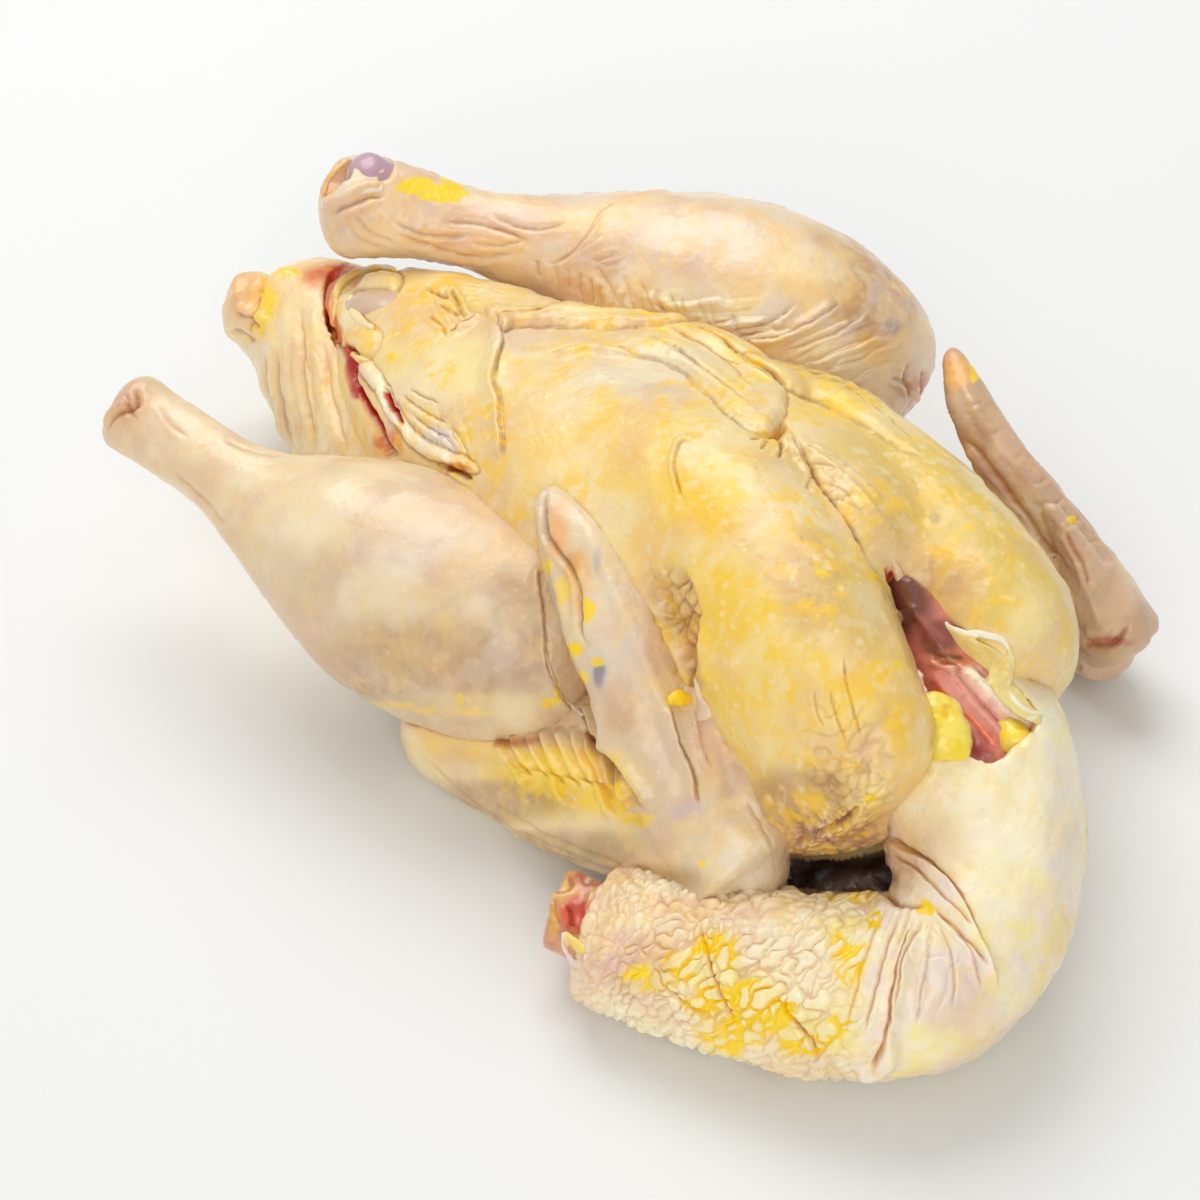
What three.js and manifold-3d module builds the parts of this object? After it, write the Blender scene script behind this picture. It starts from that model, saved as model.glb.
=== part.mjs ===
// A whole raw chicken, dressed but with its neck left on, lying on its back.
// Millimetres. +Z is up, +Y runs to the tail and +X to the bird's right side, with x = 0 on its midline
// until the last lines move the group, so that its bounding box stands centred on the origin.
import * as THREE from "three";
import { mergeVertices } from "three/addons/utils/BufferGeometryUtils.js";
import Module from "manifold-3d";

const wasm = await Module();
wasm.setup();

// ---------------------------------------------------------------- driving dimensions
const GAP = 0.3; // clearance between a piece and the pocket that it sits in
const BREAST_TOP = 86; // height of the breast above the board

const COLOURS = {
  skin: 0xead6a8,
  meat: 0xb5483c,
  pink: 0xd98f86,
  fat: 0xf2cf3a,
  cartilage: 0xc9b3bd,
};

// ---------------------------------------------------------------- how a fleshy form is made

// The place of a ring on a round-ended limb: `inset` is the share of the limb's length that each end takes
// to close, `fullness` is 1 in the middle and 0 at the two poles, and `lean` is -1 and 1 at the poles.
function ringOf(share, inset, capShare) {
  const nearEnd = Math.min(share, 1 - share);
  if (nearEnd >= capShare) {
    const between = (share - capShare) / (1 - 2 * capShare);
    return { t: inset + between * (1 - 2 * inset), fullness: 1, lean: 0 };
  }
  const angle = (nearEnd / capShare) * (Math.PI / 2);
  const fromEnd = inset * (1 - Math.cos(angle));
  const isStart = share < 0.5;
  return {
    t: isStart ? fromEnd : 1 - fromEnd,
    fullness: Math.sin(angle),
    lean: isStart ? -Math.cos(angle) : Math.cos(angle),
  };
}

// A sine or cosine drawn out towards a square's corner as `power` falls below 1.
const squared = (value, power) => Math.sign(value) * Math.abs(value) ** power;

// A closed limb: a sphere whose rings are drawn out along a smooth curve through the stations.
// A station is [x, y, z, half width, half height, roll in degrees]. `relief(u, angle)` swells the
// skin by millimetres, and nothing hangs below the board at z = 0.
function limb(stations, options = {}) {
  const { around = 24, along = 24, inset = 0.06, boxy = 1, relief = () => 0, grow = 0, floor = 0 } = options;
  const capShare = Math.min(0.2, 4 / along);
  const path = new THREE.CatmullRomCurve3(stations.map(([x, y, z]) => new THREE.Vector3(x, y, z)));
  const sizes = new THREE.CatmullRomCurve3(
    stations.map(([, , , wide, high, roll = 0]) => new THREE.Vector3(wide, high, roll)),
  );
  const geometry = new THREE.SphereGeometry(1, around, along);
  const position = geometry.getAttribute("position");
  const up = new THREE.Vector3(0, 0, 1);
  for (let ring = 0; ring <= along; ring++) {
    const { t, fullness, lean } = ringOf(ring / along, inset, capShare);
    const tangent = path.getTangent(t);
    const centre = path.getPoint(t).addScaledVector(tangent, grow * lean);
    const size = sizes.getPoint(t);
    const side = up.clone().cross(tangent).normalize();
    const rise = tangent.clone().cross(side);
    side.applyAxisAngle(tangent, THREE.MathUtils.degToRad(size.z));
    rise.applyAxisAngle(tangent, THREE.MathUtils.degToRad(size.z));
    for (let step = 0; step <= around; step++) {
      const angle = ((step % around) / around) * 2 * Math.PI;
      const swell = grow + relief(t, angle);
      const point = centre
        .clone()
        .addScaledVector(side, -squared(Math.cos(angle), boxy) * (size.x + swell) * fullness)
        .addScaledVector(rise, squared(Math.sin(angle), boxy) * (size.y + swell) * fullness);
      position.setXYZ(ring * (around + 1) + step, point.x, point.y, Math.max(point.z, floor));
    }
  }
  return geometry;
}

function solidOf(geometry) {
  geometry.deleteAttribute("normal");
  geometry.deleteAttribute("uv");
  const merged = mergeVertices(geometry, 1e-4);
  return new wasm.Manifold(
    new wasm.Mesh({
      numProp: 3,
      vertProperties: merged.getAttribute("position").array,
      triVerts: new Uint32Array(merged.index.array),
    }),
  );
}

function geometryOf(solid) {
  const mesh = solid.getMesh();
  return new THREE.BufferGeometry()
    .setAttribute("position", new THREE.BufferAttribute(mesh.vertProperties, 3))
    .setIndex(new THREE.BufferAttribute(mesh.triVerts, 1));
}

const bump = (value, centre, reach) => Math.exp(-(((value - centre) / reach) ** 2));

// ---------------------------------------------------------------- torso

// The body, with the breast's two lobes and the skin that hangs slack along the left flank to the throat.
// The lobes lean across the bird, because it slumps towards its left.
function torso() {
  const core = limb(
    [
      [2, -88, 44, 22, 22],
      [2, -72, 41, 34, 37],
      [2, -40, 40, 39, 41],
      [1, 0, 38, 38, 40],
      [3, 28, 36, 35, 35],
      [5, 54, 38, 28, 27],
      [7, 74, 39, 20, 19],
      [7, 90, 40, 12, 12],
    ],
    { around: 26, along: 16, boxy: 0.85 },
  );
  const leftLobe = limb(
    [
      [-8, 50, 46, 20, 18],
      [-6, 20, 50, 24, 22],
      [-3, -10, 54, 25, 26],
      [-6, -35, 56, 23.5, BREAST_TOP - 56],
      [-13, -58, 56, 22.5, BREAST_TOP - 56],
      [-20, -76, 54, 20.5, 28],
      [-24.5, -92, 49, 16, 25],
      [-25, -103, 44, 11, 17],
    ],
    { around: 22, along: 16 },
  );
  const rightLobe = limb(
    [
      [30, 10, 44, 12, 16],
      [34, -10, 46, 15, 20],
      [34, -30, 48, 17, 24],
      [30, -50, 48, 19.5, 26],
      [24, -70, 48, 21, 27],
      [18.5, -90, 47, 19.5, 25],
      [14, -104, 43, 13, 16],
    ],
    { around: 20, along: 14 },
  );
  const flank = limb(
    [
      [-24, -14, 50, 7, 7],
      [-29, -32, 49, 9, 8],
      [-35, -54, 42, 9, 9],
      [-37, -72, 35, 8, 10],
      [-30, -88, 37, 9, 10],
      [-19, -98, 40, 9, 9],
    ],
    { around: 10, along: 12 },
  );
  return [core, leftLobe, rightLobe, flank];
}

// Loose skin on the breast: a roll that ends in a rounded lip, and a fold that crosses it at the back.
function skinFolds() {
  const roll = limb(
    [
      [7, 42, 68.5, 1.6, 1.6],
      [14, 30, 70, 2, 2],
      [20, 18, 70.5, 3, 2.5],
      [25, 8, 71, 5, 3.5],
      [27, -5, 71.5, 6.5, 4],
      [26, -18, 72, 7, 4],
      [23, -29, 72, 6, 3.5],
    ],
    { around: 8, along: 14, inset: 0.04 },
  );
  const crossFold = limb(
    [
      [9, 44, 68, 1.5, 1.5],
      [3, 37, 70, 1.6, 1.8],
      [-5, 29, 71, 1.6, 1.8],
      [-13, 21, 70.5, 1.6, 1.8],
      [-22, 12, 66.5, 1.5, 1.5],
    ],
    { around: 6, along: 10, inset: 0.05 },
  );
  return [roll, crossFold];
}

// The neck end of the breast is slit open down to the flesh, and the vent gapes under the breast's tip.
const CROP_CUT = [
  [5, -72, 72, 1.5, 6],
  [5, -80, 67, 4.5, 9],
  [4, -90, 61, 8.5, 11],
  [2, -101, 55, 12.5, 11],
  [1, -112, 49, 12, 9],
];
const VENT_CUT = [
  [12, 98, 50, 0.9, 5],
  [5, 95, 50, 1.2, 6],
  [-4, 86, 49, 1.4, 8],
  [-10, 72, 46, 1.6, 9],
  [-16, 56, 43, 1.5, 9],
  [-22, 42, 41, 1.3, 8],
];
const VALLEY_CREASE = [
  [21, -34, 76, 0.8, 4],
  [15, -46, 77, 1.2, 6],
  [9, -60, 77, 1.4, 7],
  [5, -73, 75, 1.6, 7],
];

// ---------------------------------------------------------------- legs

const middle = (from, to, share) => from.map((value, i) => value + (to[i] - value) * share);

// A leg lies folded: the thigh runs forward from the hip to the knee, and the drumstick back to the hock.
function leg({ drumstick, hip, knee }) {
  const thigh = [
    [...hip, 21, 18],
    [...middle(hip, knee, 0.5), 22, 22],
    [...knee, 19, 19],
  ];
  return [
    limb(drumstick, { around: 20, along: 20, inset: 0.05 }),
    limb(thigh, { around: 14, along: 8, inset: 0.2 }),
  ];
}

const LEFT_LEG = {
  hip: [-22, 38, 24],
  knee: [-34, -14, 26],
  drumstick: [
    [-61, 92, 53, 10, 10],
    [-58, 80, 49.5, 8.8, 8.8],
    [-55, 64, 46, 9, 9],
    [-53, 50, 43, 13, 13],
    [-49, 36, 40, 20, 20.5],
    [-45, 22, 37, 25, 25.5],
    [-41, 9, 35, 26, 27],
    [-37, -6, 35, 25.5, 25.5],
    [-33, -20, 36, 22, 22],
    [-30, -30, 37, 16, 16],
  ],
};

const RIGHT_LEG = {
  hip: [26, 40, 26],
  knee: [68, -8, 28],
  drumstick: [
    [7, 101, 65, 12.5, 12],
    [20, 90, 62.5, 11.5, 11],
    [30, 77, 59.5, 9.2, 9.2],
    [39, 65, 56, 11.5, 11.5],
    [49, 50, 52, 18.5, 18.5],
    [57, 34, 48.5, 24.5, 24.5],
    [65, 18, 46, 26.5, 26],
    [70, 4, 42, 25.5, 25.5],
    [72, -9, 38, 22, 22],
    [72, -18, 36, 16, 16.5],
  ],
};

// The feet were cut off at the hock, and the skin has drawn back round each joint's cartilage.
const LEFT_HOCK_CUT = [
  [-60, 89, 53, 3, 3],
  [-70, 97, 57, 8, 8],
];
const RIGHT_HOCK_CUT = [
  [14, 96, 71, 3.5, 3.5],
  [7, 103, 75, 7, 7],
];

// ---------------------------------------------------------------- wings

// A folded wing: upper arm back along the body, forearm forward along the board, and the hand back over it.
// The forearm's skin is drawn into a row of ridges, one for each quill that was plucked.
function wing({ shoulder, forearm, hand, thumb, wrist, quillRidges }) {
  const elbow = forearm[0].slice(0, 3);
  const upperArm = [
    [...shoulder, 14, 14],
    [...middle(shoulder, elbow, 0.5), 12, 12],
    [...elbow, 9, 9],
  ];
  const ridges = (t, angle) =>
    Math.max(0, Math.sin(angle)) * bump(t, 0.5, 0.4) * 0.9 * Math.cos(2 * Math.PI * quillRidges * t);
  return [
    limb(upperArm, { around: 10, along: 6, inset: 0.15 }),
    limb(forearm, { around: 12, along: 26, inset: 0.07, relief: ridges }),
    limb(hand, { around: 12, along: 14, inset: 0.04 }),
    limb(thumb, { around: 8, along: 7, inset: 0.1 }),
    ...(wrist ? [limb(wrist, { around: 10, along: 6, inset: 0.5 })] : []),
  ];
}

const LEFT_WING = {
  quillRidges: 7,
  shoulder: [-30, -62, 32],
  forearm: [
    [-54, 7, 10, 7.5, 10],
    [-52, -13, 10.5, 8.5, 11],
    [-50, -35, 13, 9.5, 11],
    [-47, -55, 17, 10.5, 12],
    [-47, -72, 22.5, 11.5, 12],
    [-47, -84, 27, 10.5, 11],
  ],
  hand: [
    [-47, -87, 27, 13, 12.5, -10],
    [-46, -78, 30, 12.5, 10, -25],
    [-44, -67, 35, 11.5, 8.5, -35],
    [-43, -54, 46, 10, 7.5, -35],
    [-39, -42, 55, 9.5, 6.5, -35],
    [-35, -30, 61, 8.8, 5.5, -35],
    [-32, -20, 66, 7, 4.5, -35],
    [-28, -9, 71, 2.5, 2.5, -35],
  ],
  thumb: [
    [-40, -81, 33, 7.5, 7],
    [-38, -73, 42, 6.5, 6],
    [-36, -65, 50, 4.5, 4.5],
    [-34, -58, 56, 2, 2],
  ],
  wrist: [
    [-47, -78, 27, 8.5, 8.5],
    [-43, -91, 29.5, 8.5, 8.5],
  ],
};

const RIGHT_WING = {
  quillRidges: 7,
  shoulder: [34, -60, 34],
  forearm: [
    [74, -6, 12, 8, 9],
    [74, -30, 10, 9, 10.5],
    [72, -56, 10, 9.5, 11],
    [70, -78, 12, 9.5, 10.5],
    [68, -90, 14, 9, 10],
  ],
  hand: [
    [68, -92, 15, 9.5, 9],
    [67, -84, 24, 9, 8],
    [68, -66, 36, 7.5, 6],
    [69, -52, 44, 6.5, 5],
    [72, -40, 51, 5, 4],
    [79, -28, 56, 2, 2],
  ],
  thumb: [
    [64, -84, 30, 5, 4.5],
    [64, -76, 38, 3.5, 3.5],
    [65, -68, 44, 1.6, 1.6],
  ],
};

// ---------------------------------------------------------------- neck and tail

// The neck hangs from the crop, doubles back along the board on the bird's left and ends in a straight cut.
// Its skin is a loose sleeve, puckered all round the neck where it is folded back.
const NECK_SKIN = [
  [0, -84, 44, 26, 20],
  [-2, -100, 40, 24, 19],
  [-9, -114, 33, 20, 18],
  [-22, -124, 27, 18, 17],
  [-38, -124, 22, 18, 17.5],
  [-49, -111, 18, 18.5, 17.5],
  [-57, -95, 15.5, 17.5, 16.5],
  [-64, -80, 14, 16, 15],
  [-68, -70, 13.5, 15, 14],
  [-70, -65, 13.5, 14, 13.5],
];
const NECK_MEAT = [
  [-6, -104, 30, 7, 7],
  [-12, -115, 28, 8.5, 8],
  [-23, -122, 25, 9.5, 9],
  [-37, -121, 21, 9.5, 9],
  [-48, -110, 17, 9.5, 9],
  [-57, -94, 15, 9, 8.5],
  [-64, -79, 15, 8.5, 8],
  [-69, -66, 15, 8.5, 8],
  [-73, -57, 15.5, 8.5, 8],
];

// Where the neck leaves the breast, a low web of skin joins the two at the bottom of the gap between them.
const NECK_WEB = [
  [-28, -70, 9, 9, 8],
  [-17, -85, 10, 13, 9],
  [-5, -98, 16, 14, 9],
];

function neckSkin() {
  const puckers = (t, angle) =>
    bump(t, 0.72, 0.22) * 1.1 * Math.cos(2 * Math.PI * 15 * t) * Math.cos(5 * angle + 9 * t);
  return [
    limb(NECK_SKIN, { around: 20, along: 38, inset: 0.03, relief: puckers }),
    limb(NECK_WEB, { around: 10, along: 6, inset: 0.1 }),
  ];
}

// The rump, with the tail's stub behind it.
function tail() {
  const rump = limb(
    [
      [0, 12, 32, 27, 23],
      [0, 34, 28, 32, 27],
      [1, 60, 25, 29, 24],
      [3, 84, 27, 24, 24],
      [2, 102, 31, 18, 19],
      [-1, 112, 33, 11, 13],
    ],
    { around: 16, along: 12, inset: 0.06 },
  );
  const knob = limb(
    [
      [-3, 104, 32, 9, 12],
      [-5, 121, 34, 7, 9],
    ],
    { around: 10, along: 6, inset: 0.3 },
  );
  return [rump, knob];
}

// ---------------------------------------------------------------- flesh, fat and cartilage that show

// Each is a function of how far it grows, so that the same form cuts the pocket that it lies in.
const INNER_PIECES = {
  neck_meat: {
    colour: COLOURS.meat,
    form: (grow) => limb(NECK_MEAT, { around: 10, along: 20, inset: 0.012, grow, floor: 1.5 }),
  },
  crop_meat: {
    colour: COLOURS.pink,
    form: (grow) =>
      limb(
        [
          [5, -74, 66, 1.5, 5],
          [5, -82, 60, 5, 7],
          [4, -92, 53, 9, 8],
          [2, -103, 46, 12, 8],
          [1, -111, 42, 11, 7],
        ],
        { around: 20, along: 14, grow, relief: (t, angle) => 1.1 * Math.cos(6 * angle) * bump(t, 0.6, 0.5) },
      ),
  },
  fat_lump_large: {
    colour: COLOURS.fat,
    form: (grow) =>
      limb(
        [
          [-8, -95, 56, 4.5, 4.5],
          [-12, -100, 55.5, 6, 6],
          [-15, -107, 49, 4.5, 4.5],
        ],
        { around: 12, along: 8, inset: 0.15, grow },
      ),
  },
  fat_lump_small: {
    colour: COLOURS.fat,
    form: (grow) =>
      limb(
        [
          [3, -107, 51, 2.8, 2.8],
          [0, -113, 50, 3, 3],
        ],
        { around: 10, along: 6, inset: 0.3, grow },
      ),
  },
  left_hock_cartilage: {
    colour: COLOURS.cartilage,
    form: (grow) =>
      limb(
        [
          [-57, 86, 51, 4, 4],
          [-62.5, 92.5, 53.5, 5, 5],
        ],
        { around: 12, along: 8, inset: 0.3, grow },
      ),
  },
  right_hock_cartilage: {
    colour: COLOURS.cartilage,
    form: (grow) =>
      limb(
        [
          [24, 89, 65, 4.5, 4.5],
          [16, 99, 71, 6, 5.5],
        ],
        { around: 12, along: 8, inset: 0.3, grow },
      ),
  },
  keel_cartilage: {
    colour: COLOURS.cartilage,
    form: (grow) =>
      limb(
        [
          [-1, 82, 48, 5, 4],
          [0, 74, 53, 5.5, 4.5],
          [3, 60, 56, 5, 4],
        ],
        { around: 12, along: 8, inset: 0.15, grow },
      ),
  },
};

// ---------------------------------------------------------------- the bird

function chicken() {
  const forms = [
    ...torso(),
    ...skinFolds(),
    ...leg(LEFT_LEG),
    ...leg(RIGHT_LEG),
    ...wing(LEFT_WING),
    ...wing(RIGHT_WING),
    ...neckSkin(),
    ...tail(),
  ];
  const cuts = [
    limb(CROP_CUT, { around: 12, along: 9 }),
    limb(VENT_CUT, { around: 6, along: 12 }),
    limb(VALLEY_CREASE, { around: 6, along: 8 }),
    limb(LEFT_HOCK_CUT, { around: 10, along: 6 }),
    limb(RIGHT_HOCK_CUT, { around: 10, along: 6 }),
    ...Object.values(INNER_PIECES).map((piece) => piece.form(GAP)),
  ];
  const whole = forms.map(solidOf).reduce((sum, form) => sum.add(form));
  return cuts.map(solidOf).reduce((rest, cut) => rest.subtract(cut), whole);
}

function mesh(name, solid, colour, roughness) {
  const material = new THREE.MeshStandardMaterial({ color: colour, roughness, metalness: 0 });
  const made = new THREE.Mesh(geometryOf(solid), material);
  made.name = name;
  return made;
}

const bird = new THREE.Group();
bird.add(mesh("chicken", chicken(), COLOURS.skin, 0.4));
for (const [name, { colour, form }] of Object.entries(INNER_PIECES)) {
  let solid = solidOf(form(0));
  if (name === "crop_meat") {
    solid = solid
      .subtract(solidOf(INNER_PIECES.fat_lump_large.form(GAP)))
      .subtract(solidOf(INNER_PIECES.fat_lump_small.form(GAP)))
      .subtract(solidOf(INNER_PIECES.neck_meat.form(GAP)));
  }
  bird.add(mesh(name, solid, colour, 0.35));
}

// The bird is built about its own midline, and stands centred on the origin.
const box = new THREE.Box3().setFromObject(bird);
bird.position.set(-(box.min.x + box.max.x) / 2, -(box.min.y + box.max.y) / 2, -box.min.z);

export default bird;
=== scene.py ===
import math

import bmesh
import bpy
import numpy as np
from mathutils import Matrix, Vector, noise
from mathutils.bvhtree import BVHTree


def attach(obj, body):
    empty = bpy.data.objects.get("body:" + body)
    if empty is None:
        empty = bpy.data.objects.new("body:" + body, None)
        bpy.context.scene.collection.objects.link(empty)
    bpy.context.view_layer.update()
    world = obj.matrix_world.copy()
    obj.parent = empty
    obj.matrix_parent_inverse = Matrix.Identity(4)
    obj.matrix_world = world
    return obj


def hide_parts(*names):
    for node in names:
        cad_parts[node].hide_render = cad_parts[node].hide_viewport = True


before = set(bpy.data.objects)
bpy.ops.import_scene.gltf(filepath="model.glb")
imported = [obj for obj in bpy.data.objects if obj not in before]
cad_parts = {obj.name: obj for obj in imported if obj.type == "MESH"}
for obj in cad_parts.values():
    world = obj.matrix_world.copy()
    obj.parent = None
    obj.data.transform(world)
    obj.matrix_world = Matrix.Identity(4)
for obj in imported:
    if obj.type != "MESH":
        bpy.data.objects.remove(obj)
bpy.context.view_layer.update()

# ------------------------------------------------------------------ the camera
# It looks down on the breast from over the bird's left wing, with the neck to the lower right and the
# tail to the upper left. All sizes below are millimetres from the bird's own midline, which lies at
# MIDLINE in the frame.
MIDLINE = np.array((-6.194, 11.143, 0.0))
MM = 0.001
VIEW_AZIMUTH = math.radians(-45.0)
VIEW_ELEVATION = math.radians(44.0)
VIEW_LENS = 95.0
SENSOR = 36.0
FRAME_SIDE = 1200
VIEW_DISTANCE = 677.0
VIEW_TARGET = np.array((-15.0, -12.0, 32.0))
view_back = np.array(
    (
        math.sin(VIEW_AZIMUTH) * math.cos(VIEW_ELEVATION),
        -math.cos(VIEW_AZIMUTH) * math.cos(VIEW_ELEVATION),
        math.sin(VIEW_ELEVATION),
    )
)
view_right = np.cross(-view_back, (0, 0, 1))
view_right /= np.linalg.norm(view_right)
view_up = np.cross(view_right, -view_back)
view_eye = VIEW_TARGET + view_back * VIEW_DISTANCE
camera = bpy.data.objects.new("camera", bpy.data.cameras.new("camera"))
camera.data.lens = VIEW_LENS
camera.data.sensor_width = SENSOR
camera.data.clip_start = 0.01
camera.data.clip_end = 20.0
camera.location = Vector((view_eye + MIDLINE) * MM)
camera.rotation_mode = "QUATERNION"
camera.rotation_quaternion = Vector(-view_back).to_track_quat("-Z", "Y")
bpy.context.scene.collection.objects.link(camera)
bpy.context.scene.camera = camera

# ------------------------------------------------------------------ the bird's form
# The bird is one body in one skin: a keeled breast of two lobes, the back, two folded legs, two folded
# wings, the rump and the neck, which is doubled back beside the left wing. Each part is a limb drawn
# through stations of [x, y, z, half width, half height, roll in degrees], and they grow together.
TORSO = [
    [2, -88, 44, 22, 22], [2, -72, 41, 34, 37], [2, -40, 40, 39, 41], [1, 0, 38, 38, 40],
    [3, 28, 36, 35, 35], [5, 54, 38, 28, 27], [7, 74, 39, 20, 19], [7, 90, 40, 12, 12],
]
LEFT_LOBE = [
    [-8, 50, 46, 20, 18], [-6, 20, 50, 24, 22], [-3, -10, 54, 25, 26], [-6, -35, 56, 23.5, 30],
    [-13, -58, 56, 22.5, 30], [-20, -76, 54, 20.5, 28], [-24.5, -92, 49, 16, 25], [-25, -103, 44, 11, 17],
]
RIGHT_LOBE = [
    [30, 10, 44, 12, 16], [34, -10, 46, 15, 20], [34, -30, 48, 17, 24], [30, -50, 48, 19.5, 26],
    [24, -70, 48, 21, 27], [18.5, -90, 47, 19.5, 25], [14, -104, 43, 13, 16],
]
FLANK = [
    [-24, -14, 50, 7, 7], [-29, -32, 49, 9, 8], [-35, -54, 42, 9, 9], [-37, -72, 35, 8, 10],
    [-30, -88, 37, 9, 10], [-19, -98, 40, 9, 9],
]
SKIN_ROLL = [
    [7, 42, 68.5, 1.6, 1.6], [14, 30, 70, 2, 2], [20, 18, 70.5, 3, 2.5], [25, 8, 71, 5, 3.5],
    [27, -5, 71.5, 6.5, 4], [26, -18, 72, 7, 4], [23, -29, 72, 6, 3.5],
]
CROSS_FOLD = [
    [9, 44, 68, 1.5, 1.5], [3, 37, 70, 1.6, 1.8], [-5, 29, 71, 1.6, 1.8], [-13, 21, 70.5, 1.6, 1.8],
    [-22, 12, 66.5, 1.5, 1.5],
]
LEFT_THIGH = [[-22, 38, 24, 21, 18], [-28, 12, 25, 22, 22], [-34, -14, 26, 19, 19]]
LEFT_DRUMSTICK = [
    [-61, 92, 53, 10, 10], [-58, 80, 49.5, 8.8, 8.8], [-55, 64, 46, 9, 9], [-53, 50, 43, 13, 13],
    [-49, 36, 40, 20, 20.5], [-45, 22, 37, 25, 25.5], [-41, 9, 35, 26, 27], [-37, -6, 35, 25.5, 25.5],
    [-33, -20, 36, 22, 22], [-30, -30, 37, 16, 16],
]
RIGHT_THIGH = [[26, 40, 26, 21, 18], [47, 16, 27, 22, 22], [68, -8, 28, 19, 19]]
RIGHT_DRUMSTICK = [
    [7, 101, 65, 12.5, 12], [20, 90, 62.5, 11.5, 11], [30, 77, 59.5, 9.2, 9.2], [39, 65, 56, 11.5, 11.5],
    [49, 50, 52, 18.5, 18.5], [57, 34, 48.5, 24.5, 24.5], [65, 18, 46, 26.5, 26], [70, 4, 42, 25.5, 25.5],
    [72, -9, 38, 22, 22], [72, -18, 36, 16, 16.5],
]
LEFT_UPPER_ARM = [[-30, -62, 32, 14, 14], [-42, -27.5, 21, 12, 12], [-54, 7, 10, 9, 9]]
LEFT_FOREARM = [
    [-54, 7, 10, 7.5, 10], [-52, -13, 10.5, 8.5, 11], [-50, -35, 13, 9.5, 11], [-47, -55, 17, 10.5, 12],
    [-47, -72, 22.5, 11.5, 12], [-47, -84, 27, 10.5, 11],
]
LEFT_HAND = [
    [-47, -87, 27, 13, 12.5, -10], [-46, -78, 30, 12.5, 10, -25], [-44, -67, 35, 11.5, 8.5, -35],
    [-43, -54, 46, 10, 7.5, -35], [-39, -42, 55, 9.5, 6.5, -35], [-35, -30, 61, 8.8, 5.5, -35],
    [-32, -20, 66, 7, 4.5, -35], [-28, -9, 71, 2.5, 2.5, -35],
]
LEFT_THUMB = [
    [-40, -81, 33, 7.5, 7], [-38, -73, 42, 6.5, 6], [-36, -65, 50, 4.5, 4.5], [-34, -58, 56, 2, 2],
]
LEFT_WRIST = [[-47, -78, 27, 8.5, 8.5], [-43, -91, 29.5, 8.5, 8.5]]
RIGHT_UPPER_ARM = [[34, -60, 34, 14, 14], [54, -33, 23, 12, 12], [74, -6, 12, 9, 9]]
RIGHT_FOREARM = [
    [74, -6, 12, 8, 9], [74, -30, 10, 9, 10.5], [72, -56, 10, 9.5, 11], [70, -78, 12, 9.5, 10.5],
    [68, -90, 14, 9, 10],
]
RIGHT_HAND = [
    [68, -92, 15, 9.5, 9], [67, -84, 24, 9, 8], [68, -66, 36, 7.5, 6], [69, -52, 44, 6.5, 5],
    [72, -40, 51, 5, 4], [79, -28, 56, 2, 2],
]
RIGHT_THUMB = [[64, -84, 30, 5, 4.5], [64, -76, 38, 3.5, 3.5], [65, -68, 44, 1.6, 1.6]]
NECK_SKIN = [
    [0, -84, 44, 26, 20], [-2, -100, 40, 24, 19], [-9, -114, 33, 20, 18], [-22, -124, 27, 18, 17],
    [-38, -124, 22, 18, 17.5], [-49, -111, 18, 18.5, 17.5], [-57, -95, 15.5, 17.5, 16.5],
    [-64, -80, 14, 16, 15], [-68, -70, 13.5, 15, 14], [-70, -65, 13.5, 14, 13.5],
]
# The web of skin that closes the bottom of the gap between throat and neck; the neck section paints it near
# black as painted shade.
NECK_WEB = [[-28, -70, 7, 9, 6.5], [-17, -85, 8, 13, 7.5], [-5, -98, 14, 14, 8]]
RUMP = [
    [0, 12, 32, 27, 23], [0, 34, 28, 32, 27], [1, 60, 25, 29, 24], [3, 84, 27, 24, 24],
    [2, 102, 31, 18, 19], [-1, 112, 33, 11, 13],
]
TAIL_STUB = [[-3, 104, 32, 9, 12], [-5, 121, 34, 7, 9]]
# Each piece's limbs: the stations, and how the limb's ends and section are shaped.
LIMBS = {
    "breast": {
        "torso": (TORSO, {"boxy": 0.85}),
        "left_lobe": (LEFT_LOBE, {}),
        "right_lobe": (RIGHT_LOBE, {}),
        "flank": (FLANK, {}),
        "skin_roll": (SKIN_ROLL, {"inset": 0.04}),
        "cross_fold": (CROSS_FOLD, {"inset": 0.05}),
    },
    "rump": {
        "rump": (RUMP, {"inset": 0.06}),
        "tail_stub": (TAIL_STUB, {"inset": 0.3}),
    },
    "left_leg": {
        "thigh": (LEFT_THIGH, {"inset": 0.2}),
        "drumstick": (LEFT_DRUMSTICK, {"inset": 0.05}),
    },
    "right_leg": {
        "thigh": (RIGHT_THIGH, {"inset": 0.2}),
        "drumstick": (RIGHT_DRUMSTICK, {"inset": 0.05}),
    },
    "left_wing": {
        "upper_arm": (LEFT_UPPER_ARM, {"inset": 0.15}),
        "forearm": (LEFT_FOREARM, {"inset": 0.07}),
        "hand": (LEFT_HAND, {"inset": 0.04}),
        "thumb": (LEFT_THUMB, {"inset": 0.1}),
        "wrist": (LEFT_WRIST, {"inset": 0.5}),
    },
    "right_wing": {
        "upper_arm": (RIGHT_UPPER_ARM, {"inset": 0.15}),
        "forearm": (RIGHT_FOREARM, {"inset": 0.07}),
        "hand": (RIGHT_HAND, {"inset": 0.04}),
        "thumb": (RIGHT_THUMB, {"inset": 0.1}),
    },
    "neck": {
        "neck": (NECK_SKIN, {"inset": 0.03}),
        "web_painted_shade": (NECK_WEB, {"inset": 0.1}),
    },
}


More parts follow.
